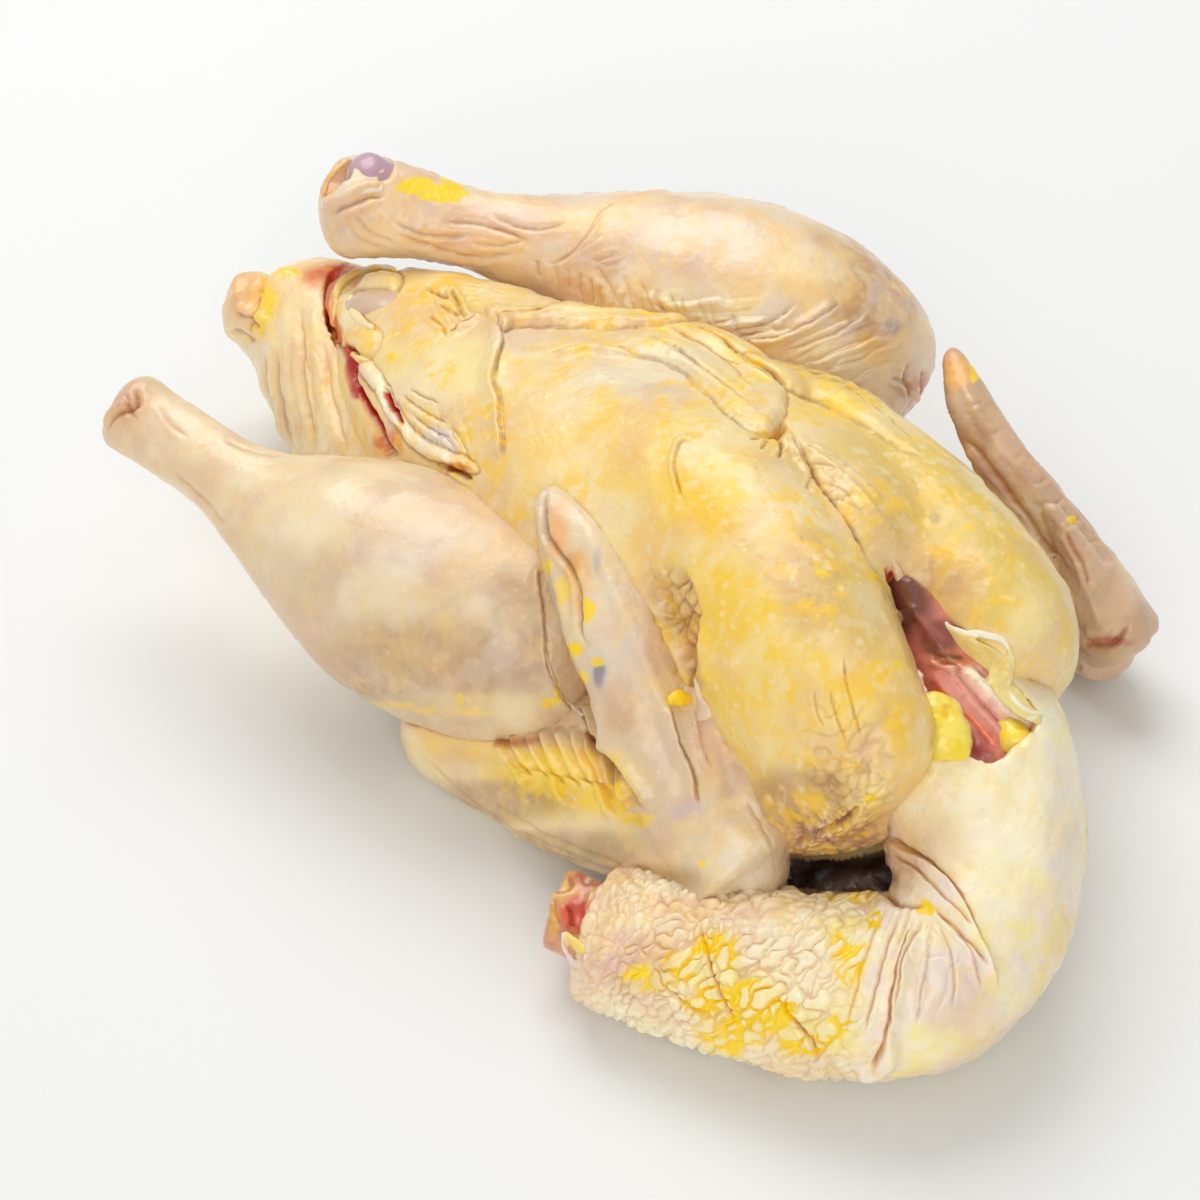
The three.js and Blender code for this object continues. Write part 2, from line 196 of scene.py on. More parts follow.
def smooth_line(points, share):
    """The point at that share of a smooth line drawn through the points."""
    spans = len(points) - 1
    at = min(max(share, 0.0), 1.0) * spans
    first = min(int(at), spans - 1)
    w = at - first
    b, c = points[first], points[first + 1]
    a = points[first - 1] if first else 2 * b - c
    d = points[first + 2] if first + 2 <= spans else 2 * c - b
    steps = [float(((q - p) ** 2).sum()) ** 0.25 for p, q in ((a, b), (b, c), (c, d))]
    least = 1e-4
    step = steps[1] if steps[1] > least else 1.0
    before = steps[0] if steps[0] > least else step
    after = steps[2] if steps[2] > least else step
    leave = ((b - a) / before - (c - a) / (before + step) + (c - b) / step) * step
    reach = ((c - b) / step - (d - b) / (step + after) + (d - c) / after) * step
    return b + leave * w + (3 * (c - b) - 2 * leave - reach) * w**2 + (2 * (b - c) + leave + reach) * w**3


def station_at(stations, share):
    """Centre, half width, half height and the side, rise and run directions of a limb at that share."""
    places = [np.array(s[:3], float) for s in stations]
    sizes = [np.array((s + [0])[3:6], float) for s in stations]
    centre, step = smooth_line(places, share), 1e-4
    run = smooth_line(places, share + step) - smooth_line(places, share - step)
    run /= np.linalg.norm(run)
    wide, high, roll = smooth_line(sizes, share)
    side = np.cross((0, 0, 1), run)
    side /= np.linalg.norm(side)
    rise = np.cross(run, side)
    c, s = math.cos(math.radians(roll)), math.sin(math.radians(roll))
    return centre, wide, high, side * c + rise * s, rise * c - side * s, run


def squared(value, power):
    return math.copysign(abs(value) ** power, value)


def add_limb(bm, stations, around=48, along=64, inset=0.06, boxy=1.0, grow=0.0):
    """
    Draws a sphere out along the stations, in metres in the frame. Its ends round off over the inset, a
    share of the limb's length; boxy below 1 squares its section, and it is swollen by grow millimetres.
    The cap is the share of its rings in each rounded end.
    """
    cap = 0.12
    rings = {}
    for ring in range(along + 1):
        share = ring / along
        near_end = min(share, 1 - share)
        t, full, lean = inset + (share - cap) / (1 - 2 * cap) * (1 - 2 * inset), 1.0, 0.0
        if near_end < cap:
            turn = near_end / cap * math.pi / 2
            t, full, lean = inset * (1 - math.cos(turn)), math.sin(turn), -math.cos(turn)
            if share > 0.5:
                t, lean = 1 - t, -lean
        rings[ring] = (t, full, lean, station_at(stations, t))
    for v in bmesh.ops.create_uvsphere(bm, u_segments=around, v_segments=along, radius=1)["verts"]:
        ring = round(math.acos(max(-1.0, min(1.0, v.co.z))) / math.pi * along)
        turn = math.atan2(v.co.y, v.co.x) + math.pi
        t, full, lean, (centre, wide, high, side, rise, run) = rings[ring]
        place = (
            centre
            + run * grow * lean
            - side * squared(math.cos(turn), boxy) * (wide + grow) * full
            + rise * squared(math.sin(turn), boxy) * (high + grow) * full
        )
        place[2] = max(place[2], 0.0)
        v.co = Vector((place + MIDLINE) * MM)


bm = bmesh.new()
for limbs in LIMBS.values():
    for stations, shape in limbs.values():
        add_limb(bm, stations, **shape)
bird_tree = BVHTree.FromBMesh(bm)
bm.free()

# ------------------------------------------------------------------ breast
# The keeled breast and the back under it: two lobes of meat under thick skin that is mottled with yellow
# fat. Over the keel's rear the slack skin is rolled into a flap, and its end is torn from the vent.
# The crop is slit open at the breast's front, and the vent gapes under its tip.
CROP_CUT = [
    [4.5, -72, 72, 1.2, 6], [3.2, -80, 67, 2.8, 9], [1.2, -90, 61, 5.4, 11], [-1.6, -101, 55, 8.9, 11],
    [-1.2, -112, 49, 9.8, 9],
]
VENT_CUT = [
    [12, 98, 50, 0.8, 4], [5, 95, 50, 1.0, 5], [-4, 86, 49, 1.2, 7], [-10, 72, 46, 1.4, 9],
    [-16, 56, 43, 1.3, 9], [-22, 42, 41, 1.2, 8],
]


def object_of(name, bm):
    mesh = bpy.data.meshes.new(name)
    bm.to_mesh(mesh)
    bm.free()
    made = bpy.data.objects.new(name, mesh)
    bpy.context.scene.collection.objects.link(made)
    return made


def apply_modifiers(piece):
    bpy.context.view_layer.update()
    shape = bpy.data.meshes.new_from_object(piece.evaluated_get(bpy.context.evaluated_depsgraph_get()))
    piece.modifiers.clear()
    piece.data = shape
    return piece


def view_of(places):
    """Where places, in millimetres from the midline, fall in the camera's 1200 by 1200 frame."""
    seen = places - view_eye
    depth = seen @ -view_back
    scale = VIEW_LENS / SENSOR * FRAME_SIDE / depth
    return FRAME_SIDE / 2 + scale * (seen @ view_right), FRAME_SIDE / 2 - scale * (seen @ view_up)


def ramp(value, low, high):
    """0 below low, 1 above high and an even S between them; the other way round where high is lower."""
    share = np.clip((value - low) / (high - low), 0, 1)
    return share * share * (3 - 2 * share)


def follow(stations, places, samples=80):
    """Along a limb, for each place: share, distance from the axis in radii, angle and way out from it."""
    rings = [station_at(stations, k / (samples - 1)) for k in range(samples)]
    centres = np.array([r[0] for r in rings])
    apart = (places**2).sum(1)[:, None] + (centres**2).sum(1)[None] - 2 * places @ centres.T
    near = apart.argmin(1)
    offset = places - centres[near]
    across = (offset * np.array([r[3] for r in rings])[near]).sum(1) / np.array([r[1] for r in rings])[near]
    above = (offset * np.array([r[4] for r in rings])[near]).sum(1) / np.array([r[2] for r in rings])[near]
    ahead = (offset * np.array([r[5] for r in rings])[near]).sum(1)
    steps = np.linalg.norm(np.gradient(centres, axis=0), axis=1)[near]
    share = (near + np.clip(ahead / steps, -0.5, 0.5)) / (samples - 1)
    past_end = 12.0
    reach = np.sqrt(across**2 + above**2 + (ahead / past_end) ** 2)
    return np.clip(share, 0, 1), reach, np.arctan2(above, across), offset


def noise_at(places, size, seed=0.0, octaves=1):
    """Smooth noise from -1 to 1 whose lumps are about `size` millimetres across."""
    spots = places / size + seed
    falloff, finer = 0.9, 2.0
    if octaves > 1:
        return np.array([noise.fractal(p, falloff, finer, octaves) for p in spots])
    return np.array([noise.noise(p) for p in spots])


def cells_at(places, size, seed=0.0):
    """0 in the creases between rounded cells about `size` millimetres across, and 1 on their tops."""
    gaps = np.array([noise.voronoi(p)[0][:2] for p in places / size + seed]).reshape(-1, 2)
    cell = 0.85
    dome = np.sqrt(np.clip(1.0 - (gaps[:, 0] / cell) ** 2, 0, 1))
    return dome * ramp(gaps[:, 1] - gaps[:, 0], -0.08, 0.3)


def smooth(bm, times, factor):
    for _ in range(times):
        bmesh.ops.smooth_vert(
            bm, verts=bm.verts, factor=factor, use_axis_x=True, use_axis_y=True, use_axis_z=True
        )


def grow_together(piece, voxel):
    """Makes one even skin of the forms that cross each other in a piece."""
    remesh = piece.modifiers.new("grow together", "REMESH")
    remesh.mode = "VOXEL"
    remesh.voxel_size = voxel * MM
    apply_modifiers(piece)


def cut_away(piece, stations):
    bm = bmesh.new()
    add_limb(bm, stations, around=24, along=32)
    cutter = object_of("cutter", bm)
    cut = piece.modifiers.new("cut", "BOOLEAN")
    cut.operation = "DIFFERENCE"
    cut.solver = "MANIFOLD"
    cut.object = cutter
    apply_modifiers(piece)
    bpy.data.objects.remove(cutter)


def paint(red, green, blue):
    """A display colour as the shader's linear one."""
    return np.array([((c / 255 + 0.055) / 1.055) ** 2.4 for c in (red, green, blue)])


def point_on(line, share):
    return smooth_line([np.array(p, float) for p in line], share)


def curve(line, parts=4):
    """The line bent smoothly through its points, in so many parts between each two of them."""
    count = parts * (len(line) - 1)
    return np.array([point_on(line, k / count) for k in range(count + 1)])


# A piece with more triangles than this is thinned to it.
MOST_TRIANGLES = 190000


class Skin:
    """A piece of the bird while it is worked: its mesh, and how each vertex is raised and coloured."""

    def __init__(
        self, name, limbs, cuts=(), voxel=1.0, rounds=3, colours=None, sheltered=False, fine=()
    ):
        """
        The limbs are grown together at the voxel's size, in mm, cut, and smoothed so many rounds. Each cut
        is a limb and how raw its walls are. Sheltered pieces lie in a cut, where bird_tree would hide them.
        The mesh is halved near the fine lines, each a margin in view pixels and a list of lines.
        """
        bm = bmesh.new()
        for stations, shape in limbs.values():
            add_limb(bm, stations, **shape)
        self.piece = object_of(name, bm)
        grow_together(self.piece, voxel)
        for cutter, _ in cuts:
            cut_away(self.piece, cutter)
        if cuts:
            grow_together(self.piece, voxel)
        self.bm = bmesh.new()
        self.bm.from_mesh(self.piece.data)
        smooth(self.bm, rounds, 0.5)
        self.cuts = cuts
        self.sheltered = sheltered
        self.measure()
        self.halve(self.seen)
        smooth(self.bm, 2, 0.4)
        self.measure()
        for margin, lines in fine:
            self.refine(margin, lines)
        self.along, self.reach, self.turn = {}, {}, {}
        for limb, (stations, _) in limbs.items():
            self.along[limb], self.reach[limb], self.turn[limb], _ = follow(stations, self.place)
        self.height = np.zeros(len(self.place))
        self.crease = np.zeros(len(self.place))
        self.marks = {n: np.zeros(len(self.place)) for n in ("mottled", "yellow", "raw")}
        self.ragged = noise_at(self.place, 2.2, 77.0, 2)
        sharpness = 14.0
        blend = {n: np.exp(-sharpness * (self.reach[n] - 1)) for n in limbs}
        total = sum(blend.values())
        self.tint = sum(blend[n][:, None] * paint(*colours[n]) for n in limbs) / total[:, None]

    def measure(self):
        """Finds where each vertex lies, its place in the view and whether the camera sees it."""
        self.bm.normal_update()
        self.bm.verts.index_update()
        self.place = np.array([v.co for v in self.bm.verts]) / MM - MIDLINE
        self.u, self.v = view_of(self.place)
        normal = np.array([v.normal for v in self.bm.verts])
        self.inside = np.zeros(len(self.place))
        for cutter, rawness in self.cuts:
            _, reach, _, way_out = follow(cutter, self.place, 40)
            inward = -(normal * way_out).sum(1) / np.linalg.norm(way_out, axis=1)
            wall = ramp(reach, 1.3, 1.1) * ramp(inward, -0.1, 0.25) * rawness
            self.inside = np.maximum(self.inside, wall)
        eye = Vector((view_eye + MIDLINE) * MM)
        clearance, grazing = 2.0 * MM, 0.02
        seen = []
        for v in self.bm.verts:
            to_eye = (eye - v.co).normalized()
            clear = v.normal.dot(to_eye) > grazing
            if clear and self.inside[v.index] < 0.5 and not self.sheltered:
                clear = bird_tree.ray_cast(v.co + v.normal * clearance, to_eye)[0] is None
            seen.append(clear)
        self.seen = np.array(seen)
        wide, fine = 5.0, 1.7
        self.wobble_u = self.u + 2.4 * noise_at(self.place, wide, 3.1)
        self.wobble_v = self.v + 2.4 * noise_at(self.place, wide, 8.7)
        self.wobble_u += noise_at(self.place, fine, 5.3)
        self.wobble_v += noise_at(self.place, fine, 9.9)

    def refine(self, margin, lines):
        """Halves the mesh within so many view pixels of the lines, so that folds come out crisp."""
        chosen = np.zeros(len(self.place), bool)
        for line in lines:
            near, away, _, _ = self.trace(line, margin)
            chosen[near[away < margin]] = True
        self.halve(chosen)
        self.measure()

    def halve(self, chosen):
        edges = {e for f in self.bm.faces if all(chosen[v.index] for v in f.verts) for e in f.edges}
        bmesh.ops.subdivide_edges(self.bm, edges=list(edges), cuts=1, use_grid_fill=True)

    def part(self, *names, soft=0.12):
        """1 on these limbs of the piece, with soft borders to its others."""
        own = np.min([self.reach[n] for n in names], axis=0)
        other = np.min([self.reach[n] for n in self.reach if n not in names], axis=0)
        return ramp(other - own, -soft, soft)

    def away_from(self, centre, reach):
        """How far each vertex lies from the centre of an oval in view pixels: 1 at its edge."""
        return np.hypot((self.wobble_u - centre[0]) / reach[0], (self.wobble_v - centre[1]) / reach[1])

    def zone(self, centre, reach, core=0.4):
        """1 in the core of an oval in view pixels, and 0 past its edge and where the camera sees nothing."""
        return ramp(self.away_from(centre, reach), 1.0, core) * self.seen

    def trace(self, line, margin):
        """The seen vertices near a line drawn in the view: numbers, distance, side and share along."""
        line = curve(line)
        low, high = line.min(0) - margin, line.max(0) + margin
        near = np.flatnonzero(
            self.seen
            & (self.wobble_u > low[0]) & (self.wobble_u < high[0])
            & (self.wobble_v > low[1]) & (self.wobble_v < high[1])
        )
        u, v = self.wobble_u[near], self.wobble_v[near]
        away, side, along = np.full(len(near), 1e9), np.zeros(len(near)), np.zeros(len(near))
        steps = np.linalg.norm(np.diff(line, axis=0), axis=1)
        start = np.concatenate(([0], np.cumsum(steps)))
        for k in range(len(line) - 1):
            run = (line[k + 1] - line[k]) / steps[k]
            du, dv = u - line[k][0], v - line[k][1]
            t = np.clip(du * run[0] + dv * run[1], 0, steps[k])
            apart = np.hypot(du - t * run[0], dv - t * run[1])
            closer = apart < away
            away = np.where(closer, apart, away)
            side = np.where(closer, np.sign(run[0] * dv - run[1] * du), side)
            along = np.where(closer, (start[k] + t) / start[-1], along)
        return near, away, side, along

    def ridges(self, lines):
        """Skin that stands up in a soft fold: height in mm, half width in view pixels, line."""
        for height, wide, line in lines.values():
            near, away, _, along = self.trace(line, 3 * wide)
            ends = ramp(along, 0.0, 0.15) * ramp(along, 1.0, 0.85)
            self.height[near] += height * np.exp(-((away / wide) ** 2)) * ends

    def creases(self, lines, dark=1.0):
        """Skin drawn in along a line, with its lips a little raised, and its crease marked for the crease
        tint and painted shade: depth, half width, line.
        """
        for depth, wide, line in lines.values():
            near, away, side, along = self.trace(line, 5 * wide)
            ends = ramp(along, 0.0, 0.2) * ramp(along, 1.0, 0.8)
            sunk = np.exp(-away / (0.6 * wide)) * ends
            right_lip, left_lip, lip_from, lip_wide = 0.55, 0.15, 2.2 * wide, 1.4 * wide
            over = np.where(side > 0, right_lip, left_lip)
            lip = over * np.exp(-(((away - lip_from) / lip_wide) ** 2)) * ends
            self.height[near] += min(depth, 1.2) * lip - depth * sunk
            mark = np.exp(-((away / (0.55 * wide)) ** 2)) * ends * min(1.0, depth) * dark
            self.crease[near] = np.maximum(self.crease[near], mark)

    def ledges(self, lines):
        """A free edge of skin lying over what is on the line's right side, with painted shadow along its
        foot: height, half width, line.
        """
        for height, wide, line in lines.values():
            near, away, side, along = self.trace(line, 4 * wide)
            ends = ramp(along, 0.0, 0.1) * ramp(along, 1.0, 0.9)
            brink, foot_from, foot_wide = 1.2, 2.0, 1.5
            over = np.where(side < 0, np.exp(-((away / wide) ** 2)), np.exp(-((away / brink) ** 2)))
            foot = np.where(side > 0, np.exp(-(((away - foot_from) / foot_wide) ** 2)), 0)
            self.height[near] += (height * over - 0.6 * height * foot) * ends
            self.crease[near] = np.maximum(self.crease[near], foot * ends * min(1.0, height / 1.4))

    def gashes(self, lines):
        """Raw flesh that shows along a tear: half width in view pixels, line."""
        for wide, line in lines:
            near, away, _, along = self.trace(line, 3 * wide)
            ends = ramp(along, 0.0, 0.1) * ramp(along, 1.0, 0.9)
            bare = np.exp(-((away / wide) ** 4)) * ends
            self.marks["raw"][near] = np.maximum(self.marks["raw"][near], bare)

    def flaps(self, flaps):
        """Skin lying double over an outlined field, with painted shadow just outside its edge: height, soft
        width, outline, where it fades in.
        """
        for height, soft, outline, fade in flaps.values():
            closed = outline + outline[:1]
            near, away, _, _ = self.trace(closed, 12)
            closed = curve(closed)
            u, v = self.wobble_u[near], self.wobble_v[near]
            crossings = np.zeros(len(near), int)
            for (u0, v0), (u1, v1) in zip(closed, closed[1:]):
                if v0 != v1:
                    meets = ((v0 > v) != (v1 > v)) & (u < (u1 - u0) * (v - v0) / (v1 - v0) + u0)
                    crossings += meets
            within = crossings % 2 == 1
            (fu0, fv0), (fu1, fv1) = fade
            length = math.hypot(fu1 - fu0, fv1 - fv0)
            shown = ramp(((u - fu0) * (fu1 - fu0) + (v - fv0) * (fv1 - fv0)) / length, 0, length)
            lip = 0.3 * np.exp(-(((away - soft) / soft) ** 2))
            plate = np.where(within, height * (np.sqrt(ramp(away, 0, soft)) + lip), 0) * shown
            self.height[near] += plate
            foot = np.where(within, 0, np.exp(-(((away - 1.5) / 1.5) ** 2))) * shown
            self.height[near] -= 0.5 * foot
            self.crease[near] = np.maximum(self.crease[near], 0.8 * foot)

    def wrinkles(self, amount, across, stretch, run, depth, seed, dark=0.5, sharp=0.12):
        """A net of fine wrinkles that run one way, with the crease tint and painted shade in their folds:
        spacing across in mm, how many times longer they are.
        """
        near = np.flatnonzero(amount > 0.02)
        run = np.array(run, float) / np.linalg.norm(run)
        places = self.place[near]
        lengthwise = (places @ run)[:, None] * run
        sway = noise_at(places, 4 * across, seed + 9.0)[:, None] * 0.5 * across
        lines = noise_at((places - lengthwise) + lengthwise / stretch + sway, across, seed)
        fold = np.exp(-np.abs(lines) / sharp)
        self.height[near] += amount[near] * depth * (np.sqrt(np.abs(lines)) * 0.6 - fold)
        mark = amount[near] * dark * fold**2 * (0.5 + 0.5 * noise_at(places, 9.0, seed))
        self.crease[near] = np.maximum(self.crease[near], mark)

    def streaks(self, streaks):
        """Coloured streaks: colour, half width, strength, line."""
        for tone, wide, strength, line in streaks:
            near, away, _, along = self.trace(line, 3 * wide)
            ends = ramp(along, 0.0, 0.1) * ramp(along, 1.0, 0.9)
            amount = np.zeros(len(self.place))
            amount[near] = strength * np.exp(-((away / wide) ** 2)) * ends
            self.stain(tone, amount)

    def rows(self, rows):
        """Rows of like wrinkles between two lines: count, depth, half width, the two lines."""
        for count, depth, wide, heads, feet in rows.values():
            lines = {}
            for k in range(count):
                share = (k + 0.5 + 0.35 * math.sin(7.0 * k)) / count
                head, foot = point_on(heads, share), point_on(feet, share)
                bend = (foot - head)[::-1] * (0.1 * math.sin(3.3 * k), -0.1 * math.sin(3.3 * k))
                deep = depth * (0.75 + 0.25 * math.sin(5.1 * k))
                lines[k] = (deep, wide, [head, (head + foot) / 2 + bend, foot])
            self.creases(lines, dark=0.55)

    def bumps(self, amount, size, height, seed, stretch=(1, 1, 1)):
        """Skin drawn together into rounded lumps about `size` millimetres across, with the crease tint and
        painted shade between them.
        """
        near = np.flatnonzero(amount > 0.02)
        lumps = cells_at(self.place[near] / stretch, size, seed)
        self.height[near] += amount[near] * height * (lumps - 0.6)
        self.crease[near] = np.maximum(self.crease[near], amount[near] * ramp(lumps, 0.4, 0.1) * 0.6)

    def stain(self, tone, amount):
        """Colours the skin by an amount from 0 to 1 at each vertex."""
        amount = np.clip(amount, 0, 1)[:, None]
        self.tint = self.tint * (1 - amount) + paint(*tone) * amount

    def stains(self, areas):
        """Soft stains: colour, centre and reach in view pixels, and strength."""
        for tone, centre, reach, strength in areas:
            self.stain(tone, strength * self.zone(centre, reach))

    def spots(self, mark, places):
        """Small ragged spots: centre and reach in view pixels, and strength."""
        for centre, reach, strength in places:
            spot = strength * ramp(self.away_from(centre, reach) + 0.45 * self.ragged, 1.1, 0.8) * self.seen
            self.marks[mark] = np.maximum(self.marks[mark], spot)

    def finish(
        self, material, crumple=1.0, swells=0.4, crease_tint_and_shade=(200, 132, 72), reach=0.7, drifting=0.35
    ):
        """Raises the skin, lays its colours into the mesh and gives it its material."""
        hidden = np.where(self.seen | self.sheltered, 0.0, 1.0)
        deep = 0.55 * crumple + 0.25
        self.wrinkles(hidden, 5.0, 2.6, run=(0.25, 1.0, 0.15), depth=deep, seed=93.0, dark=0.35, sharp=0.1)
        rough = hidden * ramp(noise_at(self.place, 16.0, 97.0), 0.0, 0.3)
        self.bumps(rough, size=2.6, height=0.35, seed=99.0)
        drift = noise_at(self.place, 19.0, 91.0, 2)
        rosy, creamy = (224, 172, 132), (253, 238, 200)
        self.stain(rosy, drifting * ramp(drift, 0.05, 0.6))
        self.stain(creamy, drifting * ramp(drift, -0.05, -0.6))
        self.height += swells * noise_at(self.place, 15.0, 1.0, 2)
        self.height += crumple * 0.16 * noise_at(self.place, 4.5, 2.0, 2)
        self.height += crumple * 0.09 * noise_at(self.place, 1.9, 4.0)
        for v, rise in zip(self.bm.verts, self.height):
            v.co += v.normal * (rise * MM)
            v.co.z = max(v.co.z, 0.0)
        smooth(self.bm, 1, 0.2)
        # The creases, the feet of free edges and flaps and the gaps between lumps are stained with the
        # crease colour: partly the skin's own tint in its creases, partly painted shade.
        self.stain(crease_tint_and_shade, self.crease * reach)
        self.marks["raw"] = np.maximum(self.marks["raw"], self.inside)
        mesh = self.piece.data
        self.bm.to_mesh(mesh)
        self.bm.free()
        for face in mesh.polygons:
            face.use_smooth = True
        for name, values in self.marks.items():
            layer = mesh.attributes.new(name, "FLOAT", "POINT")
            layer.data.foreach_set("value", np.clip(values, 0, 1).astype(np.float32))
        layer = mesh.attributes.new("tint", "FLOAT_COLOR", "POINT")
        solid = np.ones((len(self.tint), 1))
        shades = np.concatenate((self.tint, solid), axis=1).astype(np.float32)
        layer.data.foreach_set("color", shades.ravel())
        mesh.materials.clear()
        mesh.materials.append(material)
        triangles = sum(len(p.vertices) - 2 for p in mesh.polygons)
        if triangles > MOST_TRIANGLES:
            thinner = self.piece.modifiers.new("thinner", "DECIMATE")
            thinner.ratio = MOST_TRIANGLES / triangles
            apply_modifiers(self.piece)


def add_node(tree, kind, inputs=(), **settings):
    """A node with settings, and inputs given as values or as the sockets that feed them."""
    made = tree.nodes.new(kind)
    for key, value in settings.items():
        setattr(made, key, value)
    for key, value in dict(inputs).items():
        if isinstance(value, bpy.types.NodeSocket):
            tree.links.new(value, made.inputs[key])
        else:
            made.inputs[key].default_value = value
    return made


def mix_colour(tree, share, first, second):
    made = add_node(tree, "ShaderNodeMix", {0: share, 6: first, 7: second}, data_type="RGBA")
    return made.outputs[2]


def multiply(tree, *values):
    found = values[0]
    for value in values[1:]:
        found = add_node(tree, "ShaderNodeMath", {0: found, 1: value}, operation="MULTIPLY").outputs[0]
    return found


def spread(tree, value, low, high, least=0.0, most=1.0):
    inputs = {"Value": value, "From Min": low, "From Max": high, "To Min": least, "To Max": most}
    return add_node(tree, "ShaderNodeMapRange", inputs).outputs[0]


def colour(red, green, blue):
    return (*paint(red, green, blue), 1.0)


def add_bump(tree, height, strength, distance, below=None):
    """A bump that follows the height from 0 to 1 over that distance, in metres, on the bump below it."""
    inputs = {"Height": height, "Strength": strength, "Distance": distance}
    if below is not None:
        inputs["Normal"] = below
    return add_node(tree, "ShaderNodeBump", inputs).outputs[0]


def make_wet(shader, depth, bleed, coat, coat_roughness, reach=0.0015):
    """Light goes a little way into moist flesh, red light furthest, and a film of water shines on it."""
    shader.inputs["Subsurface Weight"].default_value = depth
    shader.inputs["Subsurface Radius"].default_value = bleed
    shader.inputs["Subsurface Scale"].default_value = reach
    shader.inputs["Coat Weight"].default_value = coat
    shader.inputs["Coat Roughness"].default_value = coat_roughness


def wet_skin(name, fat, pale=(247, 230, 188), flush=(222, 172, 150), flushed=0.3, pores=0.3):
    """Moist skin: fat shows through it in clouds and specks, blood as a flush, and it has pores."""
    material = bpy.data.materials.new(name)
    material.use_nodes = True
    tree = material.node_tree
    shader = tree.nodes["Principled BSDF"]
    spot = add_node(tree, "ShaderNodeTexCoord").outputs["Object"]
    marks = {
        n: add_node(tree, "ShaderNodeAttribute", attribute_name=n).outputs["Fac"]
        for n in ("mottled", "yellow", "raw")
    }
    tint = add_node(tree, "ShaderNodeAttribute", attribute_name="tint").outputs["Color"]
    cloud = add_node(tree, "ShaderNodeTexNoise", {"Vector": spot, "Scale": 62.0, "Detail": 3.0})
    blotch = add_node(tree, "ShaderNodeTexNoise", {"Vector": spot, "Scale": 210.0, "Detail": 3.0})
    speck = add_node(tree, "ShaderNodeTexVoronoi", {"Vector": spot, "Scale": 330.0, "Randomness": 0.9})
    clouds = spread(tree, cloud.outputs["Fac"], 0.4, 0.54)
    blotches = spread(tree, blotch.outputs["Fac"], 0.46, 0.56)
    shade = mix_colour(tree, multiply(tree, clouds, blotches, marks["mottled"], 0.8), tint, colour(*fat))
    specks = multiply(tree, spread(tree, speck.outputs["Distance"], 0.42, 0.12), blotches)
    shade = mix_colour(tree, multiply(tree, specks, marks["mottled"], 0.6), shade, colour(*pale))
    drawn = add_node(tree, "ShaderNodeMapping", {"Vector": spot, "Scale": (1.0, 1.0, 0.45)}).outputs[0]
    dapple = add_node(tree, "ShaderNodeTexNoise", {"Vector": drawn, "Scale": 260.0, "Detail": 2.0})
    dapples = multiply(tree, spread(tree, dapple.outputs["Fac"], 0.54, 0.66), marks["mottled"], 0.4)
    shade = mix_colour(tree, dapples, shade, colour(*pale))
    blood = add_node(
        tree, "ShaderNodeTexNoise", {"Vector": spot, "Scale": 85.0, "Detail": 4.0, "Roughness": 0.65}
    )
    flushes = spread(tree, blood.outputs["Fac"], 0.5, 0.75, 0.0, flushed)
    shade = mix_colour(tree, flushes, shade, colour(*flush))
    shade = mix_colour(tree, marks["yellow"], shade, colour(255, 214, 14))
    shade = mix_colour(tree, marks["raw"], shade, colour(188, 14, 0))
    tree.links.new(shade, shader.inputs["Base Color"])
    grain = add_node(tree, "ShaderNodeTexNoise", {"Vector": spot, "Scale": 1000.0, "Detail": 3.0})
    follicle = add_node(tree, "ShaderNodeTexVoronoi", {"Vector": spot, "Scale": 480.0, "Randomness": 0.9})
    dip = spread(tree, follicle.outputs["Distance"], 0.0, 0.4)
    dimple = add_node(tree, "ShaderNodeTexNoise", {"Vector": spot, "Scale": 260.0, "Detail": 3.0})
    bump = add_bump(tree, grain.outputs["Fac"], 0.2, 0.0004)
    bump = add_bump(tree, dip, pores, 0.0004, bump)
    bump = add_bump(tree, dimple.outputs["Fac"], 0.3, 0.0012, bump)
    tree.links.new(bump, shader.inputs["Normal"])
    tree.links.new(spread(tree, cloud.outputs["Fac"], 0.3, 0.7, 0.3, 0.5), shader.inputs["Roughness"])
    make_wet(shader, depth=0.25, bleed=(1.0, 0.45, 0.2), coat=0.4, coat_roughness=0.14)
    return material


BREAST_RIDGES = {
    "short fold": (0.9, 3, [(556, 357), (585, 350), (614, 353), (642, 352)]),
    "flap corner": (1.0, 4, [(455, 331), (481, 313), (497, 310)]),
    "lobe edge": (1.0, 5, [(800, 440), (832, 468), (857, 490), (880, 522), (906, 548)]),
    "left soft fold": (0.5, 10, [(668, 480), (686, 530), (694, 580), (698, 606)]),
    "left soft fold b": (0.4, 9, [(640, 440), (655, 490), (672, 540)]),
    "armpit edge": (1.2, 6, [(648, 556), (684, 600), (704, 650), (706, 690)]),
    "lobe pleat": (0.7, 4, [(812, 440), (838, 462), (866, 486), (884, 506)]),
}
ROLL = [
    (560, 322), (600, 312), (645, 318), (680, 320), (712, 337), (745, 360), (772, 377), (787, 396),
    (785, 413), (769, 434), (740, 421), (706, 390), (676, 366), (636, 352), (590, 336),
]
THIGH_BAND = [
    (736, 356), (760, 356), (800, 368), (850, 390), (895, 424), (920, 452), (900, 446), (860, 424),
    (815, 400), (775, 382),
]
REAR_FLAP = [
    (499, 314), (540, 308), (600, 302), (650, 312), (690, 322), (645, 330), (600, 328), (560, 326),
    (520, 324), (504, 330),
]
KEEL_LOBE = [
    (337, 296), (342, 284), (360, 274), (385, 270), (402, 276), (398, 290), (372, 288), (353, 292),
    (356, 310), (366, 324), (380, 332), (374, 350), (360, 362), (344, 352), (336, 330),
]
